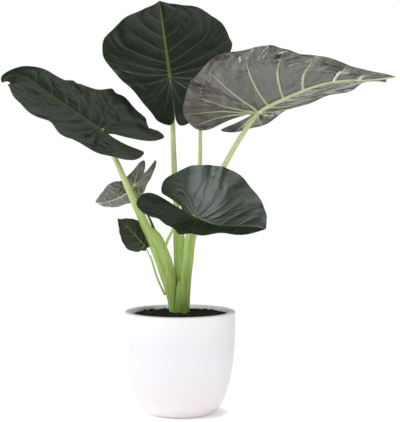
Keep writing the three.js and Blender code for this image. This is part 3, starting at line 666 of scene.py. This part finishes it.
sheath_finish, paint = new_finish("sheath_green")
place = paint.place()
height = place.part("Z")
stretched = paint.node("ShaderNodeVectorMath", {"operation": "MULTIPLY"}, {0: place, 1: (1, 1, 0.08)})
streak = paint.noise(stretched, scale=420, detail=3, roughness=0.6)
deep = streak.within(0.35, 0.7).mix(colour(108, 144, 36), colour(82, 112, 28))
paint.finish(
    Base_Color=height.within(*TONGUE_PALES).mix(deep, colour(150, 178, 88)),
    Roughness=0.4 + 0.2 * streak,
    Normal=paint.bump(streak, distance=0.0005, strength=0.6),
)
sheath = new_piece("old_leaf_base", points, faces, [sheath_finish])
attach(sheath, "root")
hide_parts("front_sheath")

# Blades
# Broad shield shaped blades, leathery and dark, and glossier and browner beneath. Midrib and side veins
# stand out beneath and lie in fine grooves above, and the skin between them is quilted. Each blade grows
# from the end of its stalk, at a knot where its midrib and lowest veins meet.

# A blade is drawn flat, in millimetres across from the midrib and along it from the joint, and then bent.
# Left and right are as seen from above with the tip ahead, and the first of a pair is the left half's.
# joint: where the stalk meets the blade. tip: the way the midrib runs there. face: the way the upper side
# looks there.
# left, right: the margin of that half, from the tip round the lobe to the sinus between the lobes.
# sinus: how far behind the joint it begins.
# arch: how the midrib bends, in degrees per 100 mm, over three stretches.
# curl: how each half bends from the midrib outwards, in the same measure, over two stretches.
# lobe_bend: how each lobe bends backwards from the joint, in the same measure.
# fold: how many degrees each half tips up from the midrib. lobe_fold: how many more its lobe does.
# roots: where the side veins leave the midrib, as shares of the way from the joint to the tip.
# ends: where they reach each margin, as shares of its run from the tip. bow: how far they swing on the way.
SMALL_VEINS = {
    "roots": (0.66, 0.36, 0.12, 0, 0), "bow": (0.25, 0.25), "ends": ((0.16, 0.3, 0.44, 0.6, 0.76),) * 2,
}
LEAVES = {
    "top": {
        "joint": (-22, 75, 678), "tip": (-0.11, 0.62, 0.77), "face": (-0.03, -0.78, 0.62), "sinus": 18,
        "arch": (-6, -6, -6), "fold": (7, 8), "curl": ((-8, -12), (-8, -12)),
        "lobe_bend": (-10, -8), "lobe_fold": (3, 0),
        "left": [
            (0, 261), (17, 240), (62, 210), (116, 150), (133, 102), (124, 49), (73, -44), (47, -92),
            (36, -112), (18, -122), (8, -121), (0.5, -105), (0.5, -82), (2.8, -60), (2, -38), (0, -18),
        ],
        "right": [
            (0, 261), (18, 243), (41, 231), (86, 198), (118, 153), (135, 99), (131, 45), (56, -95),
            (39, -116), (20, -127), (7, -126), (0.5, -109), (0.5, -82), (2.8, -60), (2, -38), (0, -18),
        ],
        "roots": (0.65, 0.44, 0.27, 0.14, 0.06, 0.02, 0, 0, 0), "bow": (0.35, 0.35),
        "ends": ((0.08, 0.13, 0.2, 0.29, 0.38, 0.48, 0.59, 0.69, 0.78),
                 (0.08, 0.135, 0.195, 0.27, 0.37, 0.47, 0.565, 0.66, 0.77)),
    },
    "left": {
        "joint": (-154, -40, 568), "tip": (-0.78, 0.35, 0.52), "face": (0.59, 0.15, 0.79), "sinus": 17,
        "arch": (0, 3, -132), "fold": (-47, 60), "curl": ((25, 10), (-63, 32)),
        "lobe_bend": (22, 20), "lobe_fold": (-8, 6),
        "left": [
            (0, 258), (22, 245), (48, 222), (76, 178), (92, 148), (112, 108), (94, 72), (93, 60),
            (108, 25), (94, -6), (78, -34), (56, -57), (50, -85), (34, -101), (10, -105), (3, -95),
            (2, -60), (0, -17),
        ],
        "right": [
            (0, 258), (19, 253), (45, 244), (56, 227), (52, 208), (88, 178), (112, 164), (113, 148),
            (135, 121), (168, 101), (163, 82), (168, 60), (157, 20), (146, -8), (108, -54), (104, -80),
            (88, -108), (50, -112), (30, -92), (14, -37), (0, -17),
        ],
        "roots": (0.68, 0.5, 0.35, 0.22, 0.11, 0.03, 0, 0, 0), "bow": (0.2, 0.15),
        "ends": ((0.09, 0.18, 0.27, 0.35, 0.43, 0.5, 0.57, 0.65, 0.78),
                 (0.1, 0.15, 0.2, 0.24, 0.3, 0.38, 0.53, 0.65, 0.77)),
    },
    "right": {
        "joint": (154, -66, 603), "tip": (0.65, -0.67, 0.36), "face": (-0.12, 0.38, 0.92), "sinus": 18,
        "arch": (-6, -14, 10), "fold": (6, 13), "curl": ((15, -30), (-5, -5)),
        "lobe_bend": (11, -16), "lobe_fold": (-7, 23),
        "left": [
            (0, 346), (18, 310), (60, 271), (111, 195), (135, 129), (138, 98), (106, 41), (67, -41),
            (55, -96), (40, -120), (13, -123), (3, -98), (0, -18),
        ],
        "right": [
            (0, 346), (64, 290), (150, 217), (175, 190), (198, 123), (193, 60), (167, -1), (136, -48),
            (108, -98), (87, -122), (49, -130), (27, -106), (15, -42), (0, -18),
        ],
        "roots": (0.75, 0.58, 0.35, 0.2, 0.08, 0, 0, 0, 0), "bow": (0.3, 0.22),
        "ends": ((0.1, 0.16, 0.25, 0.36, 0.46, 0.54, 0.62, 0.69, 0.79),
                 (0.05, 0.1, 0.18, 0.26, 0.355, 0.49, 0.72, 0.775, 0.815)),
    },
    "front": {
        "joint": (32, -150, 401), "tip": (0.67, -0.67, -0.33), "face": (-0.19, -0.58, 0.79), "sinus": 27,
        "arch": (29, -1, -13), "fold": (40, 9), "curl": ((32, 7), (40, -24)),
        "lobe_bend": (-36, 13), "lobe_fold": (-7, -12),
        "left": [
            (0, 217), (14, 213), (30, 205), (76, 154), (106, 88), (106, 10), (91, -37), (69, -80),
            (51, -123), (33, -128), (20, -104), (0, -27),
        ],
        "right": [
            (0, 217), (16, 213), (36, 204), (59, 177), (79, 138), (89, 93), (86, 68), (60, -27),
            (55, -50), (57, -100), (42, -122), (16, -128), (2, -103), (0, -27),
        ],
        "roots": (0.6, 0.32, 0.12, 0.04, 0, 0, 0, 0, 0), "bow": (0.1, 0.2),
        "ends": ((0.05, 0.09, 0.14, 0.2, 0.36, 0.5, 0.61, 0.69, 0.78),
                 (0.1, 0.19, 0.28, 0.36, 0.43, 0.5, 0.59, 0.68, 0.78)),
    },
    "back": {
        "joint": (42, 108, 637), "tip": (0.16, 0.95, 0.2), "face": (0, -0.2, 0.98), "sinus": 12,
        "arch": (-20, -30, -34), "fold": (4, 4), "curl": ((-10, -22), (-10, -22)),
        "lobe_bend": (-12, -12), "lobe_fold": (0, 0),
        "left": [
            (0, 165), (17, 150), (54, 117), (79, 79), (83, 36), (63, -8), (45, -49), (25, -73), (7, -73),
            (3, -33), (0, -12),
        ],
        "right": [
            (0, 165), (16, 150), (52, 117), (76, 79), (79, 36), (60, -8), (43, -49), (24, -73), (6, -73),
            (3, -33), (0, -12),
        ],
        "roots": (0.65, 0.44, 0.27, 0.14, 0.06, 0.02, 0, 0, 0), "bow": (0.3, 0.3),
        "ends": ((0.09, 0.15, 0.22, 0.3, 0.39, 0.48, 0.58, 0.68, 0.78),) * 2,
    },
    "small_back": {
        "joint": (-96, 35, 453), "tip": (-0.62, 0.24, -0.75), "face": (-0.63, 0.41, 0.66), "sinus": 36,
        "arch": (69, 26, 116), "fold": (33, -22), "curl": ((-11, -9), (41, 12)),
        "lobe_bend": (79, 65), "lobe_fold": (1, 9),
        "left": [
            (0, 98), (18, 81), (43, 37), (42, 16), (30, -1), (26, -12), (23, -47), (20, -58), (12, -62),
            (0, -36),
        ],
        "right": [
            (0, 98), (10, 93), (18, 91), (29, 78), (35, 48), (41, 27), (39, 8), (35, 0), (25, -37),
            (18, -64), (10, -68), (0, -36),
        ],
        **SMALL_VEINS,
    },
    "small_front": {
        "joint": (-71, -14, 337), "tip": (-0.6, -0.29, 0.74), "face": (0.69, -0.66, 0.3), "sinus": 6,
        "arch": (-12, -23, -25), "fold": (4, -1), "curl": ((-24, -26), (-24, -24)),
        "lobe_bend": (-10, -10), "lobe_fold": (0, -1),
        "left": [
            (0, 78), (26, 56), (37, 37), (37, 22), (25, 5), (17, 1), (5, -9), (0, -6),
        ],
        "right": [
            (0, 78), (6, 71), (19, 61), (34, 43), (36, 30), (20, 0), (11, -10), (5, -10), (0, -6),
        ],
        **SMALL_VEINS,
    },
    "young": {
        "joint": (18, -48, 428), "tip": (0.2, 0.12, 0.97), "face": (-0.25, -0.95, 0.15), "sinus": 4,
        "arch": (-10, -20, -30), "fold": (16, 16), "curl": ((-20, -30), (-20, -30)),
        "lobe_bend": (-10, -10), "lobe_fold": (0, 0),
        "left": [
            (0, 52), (5, 47), (15, 37), (22, 25), (23, 11), (17, -3), (12, -16), (7, -23), (2, -23),
            (1, -10), (0, -4),
        ],
        "right": [
            (0, 52), (4, 47), (14, 37), (20, 25), (21, 11), (16, -3), (11, -16), (6, -23), (2, -23),
            (1, -10), (0, -4),
        ],
        **SMALL_VEINS,
    },
}
SMALL_LEAVES = ("small_back", "small_front", "young")
BLADE_THICKNESS = 0.0009
SINUS_GAP = 0.001

# Where the stretches of the arch and of the curl end, as shares of the blade's length, and how far behind
# the joint a lobe has its whole fold.
ARCH_STRETCHES = (0.4, 0.75)
CURL_STRETCH = 0.25
LOBE_FOLD_RUN = 0.060

# Lines from the midrib to the margin on each half, and steps along a line, which are closer near the midrib.
# More lines lie close to each vein.
LARGE_GRID = (200, 48)
SMALL_GRID = (90, 34)
STEP_EASE = 1.15
LINES_BY_VEIN = np.array([-0.15, -0.1, -0.06, -0.03, 0, 0.03, 0.06, 0.1, 0.15])

# Ribs and veins have these sizes on a blade of this length, and shrink with it.
LARGE_BLADE = 0.260
MIDRIB_HALF_WIDTH = 0.0042
MIDRIB_DEPTH = 0.0036
KNOT_RADIUS = 0.006
VEIN_HALF_WIDTH = 0.0021
VEIN_DEPTH = 0.0022
VEIN_GROOVE = 0.0006

# How high the skin stands between two veins, in its ripples, and in the crimps along the margin of each
# half. A leaf that isn't named has the common height.
QUILT_RISE = {"front": 0.0008, "left": 0.0026}
COMMON_QUILT_RISE = 0.0016
RIPPLE_RISE = {"right": 0.0010, "left": 0.0008, "small_back": 0.0006}
COMMON_RIPPLE_RISE = 0.0003
CRIMP_RISE = {"right": (0.0004, 0.0055), "left": (0.0006, 0.0035), "top": (0.0012, 0.0018)}
COMMON_CRIMP_RISE = (0.0004, 0.0004)
CRIMPS = 13
MARGIN_WAVE = 0.0022
MARGIN_WAVES = 7

# The functions below work in metres. A blade's length is what lies ahead of its joint.
for leaf in LEAVES.values():
    for key in ("joint", "sinus", "left", "right"):
        leaf[key] = np.array(leaf[key]) / 1000
    leaf["length"] = leaf["left"][0, 1]


def walk(distance, start_angle, bends):
    """Walks a distance along a path that leaves at an angle and bends steadily within each stretch."""
    along, rise, angle, begin = 0, 0, start_angle, 0
    for end, degrees_per_100_mm in bends:
        rate = math.radians(degrees_per_100_mm) / 0.1
        step = np.clip(distance, begin, end) - begin
        turned = angle + rate * step
        if abs(rate) < 1e-6:
            along = along + step * np.cos(angle)
            rise = rise + step * np.sin(angle)
        else:
            along = along + (np.sin(turned) - np.sin(angle)) / rate
            rise = rise + (np.cos(angle) - np.cos(turned)) / rate
        angle = turned
        begin = end
    return along, rise, angle


def blade_axes(leaf):
    """The way that the midrib runs from the stalk, and the way that the upper side faces there."""
    tip = unit(np.array(leaf["tip"], float))
    face = np.array(leaf["face"], float)
    return tip, unit(face - tip * face.dot(tip))


def blade_place(leaf, half, x, y):
    """The bent places of flat points: x is their distance from the midrib on half 0 (left) or 1 (right)."""
    side = -1 if half == 0 else 1
    length = leaf["length"]
    far = 3 * length
    near, middle, end = leaf["arch"]
    first, second = (share * length for share in ARCH_STRETCHES)
    ahead = walk(np.maximum(y, 0), 0, [(first, near), (second, middle), (far, end)])
    behind = walk(np.maximum(-y, 0), 0, [(leaf["sinus"], 0), (far, leaf["lobe_bend"][half])])
    front = y >= 0
    forward = np.where(front, ahead[0], -behind[0])
    spine_rise = np.where(front, ahead[1], behind[1])
    slope = np.where(front, ahead[2], -behind[2])
    fold = np.radians(leaf["fold"][half] + leaf["lobe_fold"][half] * np.clip(-y / LOBE_FOLD_RUN, 0, 1))
    curl = leaf["curl"][half]
    out, rise, _ = walk(x, fold, [(CURL_STRETCH * length, curl[0]), (far, curl[1])])
    tip, face = blade_axes(leaf)
    sideways = np.cross(tip, face)
    return (leaf["joint"] + np.multiply.outer(side * out, sideways)
            + np.multiply.outer(forward - rise * np.sin(slope), tip)
            + np.multiply.outer(spine_rise + rise * np.cos(slope), face))


def margin_places(outline, shares):
    """Flat places at shares of the run of a smooth margin through an outline, from the tip to the sinus."""
    ends = np.vstack([2 * outline[0] - outline[1], outline, 2 * outline[-1] - outline[-2]])
    fine = np.linspace(0, len(outline) - 1, 60 * len(outline))
    i = np.minimum(fine.astype(int), len(outline) - 2)
    u = (fine - i)[:, None]
    p0, p1, p2, p3 = (ends[i + k] for k in range(4))
    curve, _ = cubic(p1, p2, (p2 - p0) / 2, (p3 - p1) / 2, u)
    run = np.append(0, np.cumsum(np.linalg.norm(np.diff(curve, axis=0), axis=1)))
    x, y = (np.interp(shares * run[-1], run, curve[:, k]) for k in range(2))
    clear = SINUS_GAP / 2 * np.clip((1 - shares) * 30, 0, 1)
    return np.where(shares > 0, np.maximum(x, clear), 0), y


def flat_places(leaf, half, lines, along):
    """Flat places on lines from the midrib to the margin. Line 0 is at the tip, the whole numbers after it
    are the side veins, and the last is at the sinus."""
    outline = leaf["left" if half == 0 else "right"]
    length = leaf["length"]
    count = np.arange(len(leaf["roots"]) + 2)
    shares = np.interp(lines, count, [0, *leaf["ends"][half], 1])
    root = length * np.interp(lines, count, [1, *leaf["roots"], 0])[:, None]
    end_x, end_y = (v[:, None] for v in margin_places(outline, shares))
    bow = leaf["bow"][half] * along * (1 - along) * np.clip((0.85 - shares) * 6, 0, 1)[:, None]
    x = end_x * along + bow * (end_y - root)
    y = root + (end_y - root) * along - bow * end_x
    return np.maximum(x, 0), y, shares


def vein_relief(leaf, half, x, y, veins, along):
    """How much side vein, midrib and knot there is at flat places, and how thick the midrib is, up to 1."""
    length = leaf["length"]
    scale = length / LARGE_BLADE
    vein_x, vein_y, _ = flat_places(leaf, half, veins, along)
    run_x, run_y = np.gradient(vein_x, axis=1), np.gradient(vein_y, axis=1)
    run = np.maximum(np.hypot(run_x, run_y), 1e-9)
    gap_x, gap_y = x[:, None] - vein_x, y[:, None] - vein_y
    near = (np.abs(gap_x * run_y - gap_y * run_x) / run).min(axis=1)
    width = VEIN_HALF_WIDTH * scale * (1 - 0.75 * along)
    vein = np.exp(-(near / width) ** 2) * (1 - along) ** 0.4
    taper = np.clip(1 - np.clip(y, 0, length) / length, 0, 1)
    rib_width = MIDRIB_HALF_WIDTH * scale * (0.3 + 0.7 * taper)
    on_rib = np.where(y >= 0, 1.0, np.clip(1 + y / (0.4 * leaf["sinus"]), 0, 1))
    rib = np.clip(1 - (x / rib_width) ** 2, 0, 1) * on_rib
    knot = np.clip(1.7 - np.hypot(x, y) / (KNOT_RADIUS * scale), 0, 1)
    return vein, rib, knot, taper


def skin_lift(name, half, phase, along, place):
    """How far the skin of a half stands off its smooth form. place is a line's share of the margin's run."""
    # Quilted between the side veins, and flat at the midrib, the margin and the lobe's end.
    quilt = np.sin(np.pi * (phase % 1)) * np.clip((0.7 - place) * 20, 0, 1)
    quilt = quilt * np.sin(np.pi * np.minimum(1, along * 1.15)) * np.clip(along * (1 - along) * 6, 0, 1)
    # Broad waves, strongest at the margin.
    swing = np.sin(2 * np.pi * MARGIN_WAVES * place + half)
    swing = swing * np.clip(place * 8, 0, 1) * np.clip((0.8 - place) * 8, 0, 1)
    wave = swing * along ** 3
    # Irregular ripples all over, fading at the tip and the lobe's end.
    across = 9 * along + 2.3 * np.sin(1.9 * phase + 3 * along)
    ripple = np.sin(2 * np.pi * (1.4 * phase + 0.5 * np.sin(across))) * np.sin(across + 2.1 * phase)
    ripple = ripple * np.clip(along * (1 - along) * 8, 0, 1) * np.clip((0.8 - place) * 12, 0, 1)
    ripple = ripple * np.clip((place - 0.04) * 8, 0, 1)
    # Crimps beside the margin, strongest at four fifths of the way from the midrib.
    turns = CRIMPS * (place + 0.05 * np.sin(5 * along + 9 * place)) + 0.7 * np.sin(17 * place + half)
    crimp = np.sin(2 * np.pi * turns) * (0.6 + 0.4 * np.sin(31 * place))
    crimp = crimp + 0.25 * np.sin(2 * np.pi * 2.3 * turns) * np.sin(14 * along + 40 * place)
    crimp = crimp * np.clip((along - 0.5) / 0.3, 0, 1) ** 1.5
    crimp = crimp * (1 - 0.85 * np.clip((along - 0.8) / 0.2, 0, 1))
    crimp = crimp * np.clip(place * 14, 0, 1) * np.clip((0.85 - place) * 8, 0, 1)
    scale = LEAVES[name]["length"] / LARGE_BLADE
    ripple_rise = RIPPLE_RISE.get(name, COMMON_RIPPLE_RISE)
    crimp_rise = CRIMP_RISE.get(name, COMMON_CRIMP_RISE)[half]
    lift = scale * (QUILT_RISE.get(name, COMMON_QUILT_RISE) * quilt + MARGIN_WAVE * wave)
    return lift + ripple_rise * ripple + crimp_rise * crimp


def blade_half(name, half):
    """A half of a blade as a grid: bent points, how far its faces lie above and below them, and what its
    finish reads."""
    leaf = LEAVES[name]
    lines, steps = SMALL_GRID if name in SMALL_LEAVES else LARGE_GRID
    scale = leaf["length"] / LARGE_BLADE
    side = -1 if half == 0 else 1
    veins = np.arange(1, len(leaf["roots"]) + 1)
    by_veins = (veins[:, None] + LINES_BY_VEIN).ravel()
    phase = np.unique(np.round(np.append(np.linspace(0, veins[-1] + 1, lines), by_veins), 5))
    along = np.linspace(0, 1, steps) ** STEP_EASE
    x, y, shares = flat_places(leaf, half, phase, along)
    phase = phase[:, None] + 0 * along
    vein, rib, knot, taper = vein_relief(leaf, half, x, y, veins, along)
    # The skin rises square to the bent blade, whose slopes come from two short steps on it.
    step = 0.0005
    bent = blade_place(leaf, half, x, y)
    ahead = blade_place(leaf, half, x, y + step) - bent
    outward = (blade_place(leaf, half, x + step, y) - bent) * side
    up = unit(np.cross(outward, ahead))
    lift = skin_lift(name, half, phase, along, shares[:, None])
    bent = bent + up * np.where(x < 1e-7, 0, lift)[..., None]
    height = (1 - along) ** 0.8
    above = BLADE_THICKNESS / 2 - VEIN_GROOVE * scale * np.maximum(vein * height, rib) / 2
    below = BLADE_THICKNESS / 2 + scale * np.maximum.reduce([
        VEIN_DEPTH * vein * height, MIDRIB_DEPTH * rib * (0.25 + 0.75 * taper), MIDRIB_DEPTH * knot])
    flat = np.dstack([x * side, y, 0 * x])
    reads = {"vein": vein, "rib": np.maximum(rib, 0), "phase": phase, "reach": 0 * x + along, "flat": flat}
    return bent, above, below, reads


def blade_piece(name, finishes):
    """Both halves of a blade, joined along the midrib and made thick. Its upper finish comes first."""
    points, faces, above, below, reads = [], [], [], [], []
    count = 0
    for half in (0, 1):
        bent, over, under, read = blade_half(name, half)
        triangles = grid_faces(*over.shape) + count
        faces.append(triangles[:, ::-1] if half == 1 else triangles)
        count += over.size
        points.append(bent.reshape(-1, 3))
        above.append(over.ravel())
        below.append(under.ravel())
        reads.append(read)
    points, above, below = (np.concatenate(parts) for parts in (points, above, below))
    faces = np.concatenate(faces)
    _, first, merged = np.unique(np.round(points, 7), axis=0, return_index=True, return_inverse=True)
    faces = merged.ravel()[faces]
    whole = (faces[:, 0] != faces[:, 1]) & (faces[:, 1] != faces[:, 2]) & (faces[:, 2] != faces[:, 0])
    points, faces, kinds = thicken(points[first], faces[whole], above[first], below[first])
    piece = new_piece(f"{name}_blade", points, faces, finishes, kinds)
    for key in reads[0]:
        shape = (-1, 3) if key == "flat" else -1
        values = np.concatenate([read[key].reshape(shape) for read in reads])[first]
        add_values(piece, key, np.concatenate([values, values]))
    return piece


# How far from the joint a stalk is pressed, and how deep under the middle of its blade.
STALK_END = 0.025
STALK_SINK = 0.0012


def press_stalk_end(name):
    """Presses the top end of a stalk down into the knot under its blade, so none of it shows above."""
    leaf = LEAVES[name]
    tip, face = blade_axes(leaf)
    mesh = bpy.data.objects[f"{name}_stalk"].data
    places = np.empty(len(mesh.vertices) * 3, np.float32)
    mesh.vertices.foreach_get("co", places)
    places = places.reshape(-1, 3)
    gap = places - leaf["joint"]
    across = gap.dot(np.cross(tip, face))
    left, right = (blade_place(leaf, half, np.abs(across), gap.dot(tip)) for half in (0, 1))
    sheet = np.where(across[:, None] < 0, left, right)
    rise = (places - sheet).dot(face) + STALK_SINK
    over = np.where(np.linalg.norm(gap, axis=1) < STALK_END, np.maximum(rise, 0), 0)
    mesh.vertices.foreach_set("co", (places - over[:, None] * face).astype(np.float32).ravel())
    mesh.update()


def blade_paint(name, skin, pale, vein_colour, rib_colour, roughness, shine, painted_sheen):
    """A leathery clouded skin with a fine net, and veins and midrib in their own colours. Pale patches along
    the creases are painted sheen.
    """
    finish, paint = new_finish(name)
    flat = paint.read("flat", "Vector")
    phase, reach = paint.read("phase"), paint.read("reach")
    vein, rib = paint.read("vein"), paint.read("rib")
    cloud = paint.noise(flat, scale=16, detail=3)
    patch = paint.noise(flat, scale=55, detail=3)
    cells = {"Vector": flat, "Scale": 260}
    net = paint.node("ShaderNodeTexVoronoi", {"feature": "DISTANCE_TO_EDGE"}, cells)
    strands = paint.vector(phase * 26.0, reach * 1.6)
    streak = paint.noise(strands, scale=1.0, detail=2)
    folds = paint.vector(phase * 5.0 + cloud * 2.0, reach * 5.0)
    crease = paint.noise(folds, scale=1.0, detail=3, roughness=0.55)
    base = (cloud * 0.6 + streak * 0.4).within(0.34, 0.66).mix(skin[0], skin[1])
    # Painted sheen: pale patches along the creases, towards the margin, stand in for glossy reflections.
    base = (crease.within(0.5, 0.68) * reach.within(0.2, 0.8) * painted_sheen).mix(base, pale)
    base = ((1 - net.within(0.0, 0.12)) * 0.16).mix(base, pale)
    base = (streak.within(0.56, 0.72) * 0.3).mix(base, pale)
    base = (vein.within(0.12, 0.7) * 0.9).mix(base, vein_colour)
    relief = net.within(0.0, 0.3) * 0.12 + streak * 0.25 + patch * 0.3 + crease * 0.8
    paint.finish(
        Base_Color=rib.within(0.08, 0.5).mix(base, rib_colour),
        Roughness=roughness + 0.12 * cloud + 0.08 * streak,
        Specular_IOR_Level=shine,
        Normal=paint.bump(relief, distance=0.0005, strength=0.35),
    )
    return finish


# The last number of each finish is how much painted sheen its creases get.
upper_finish = blade_paint(
    "leaf_upper", (colour(20, 28, 16), colour(36, 47, 30)), pale=colour(60, 73, 52),
    vein_colour=colour(68, 82, 50), rib_colour=colour(92, 116, 50),
    roughness=0.26, shine=0.85, painted_sheen=0.35)
dim_rib_finish = blade_paint(
    "dim_rib_leaf_upper", (colour(20, 28, 16), colour(42, 57, 34)), pale=colour(68, 82, 58),
    vein_colour=colour(60, 78, 44), rib_colour=colour(58, 80, 38),
    roughness=0.26, shine=0.85, painted_sheen=0.5)
# The small leaves' upper skin is paler and greyer than the large ones', partly as painted sheen.
small_finish = blade_paint(
    "small_leaf_upper", (colour(46, 54, 40), colour(72, 82, 62)), pale=colour(88, 98, 80),
    vein_colour=colour(128, 142, 106), rib_colour=colour(130, 148, 104),
    roughness=0.34, shine=0.6, painted_sheen=0.3)
under_finish = blade_paint(
    "leaf_under", (colour(56, 50, 43), colour(86, 80, 70)), pale=colour(146, 142, 130),
    vein_colour=colour(196, 204, 148), rib_colour=colour(210, 222, 162),
    roughness=0.12, shine=1.0, painted_sheen=0.45)
upper_finishes = {"left": dim_rib_finish, "front": dim_rib_finish}
upper_finishes.update(dict.fromkeys(SMALL_LEAVES, small_finish))
for name in LEAVES:
    piece = blade_piece(name, [upper_finishes.get(name, upper_finish), under_finish])
    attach(piece, "root")
    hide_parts(f"blade_{name}")
    press_stalk_end(name)
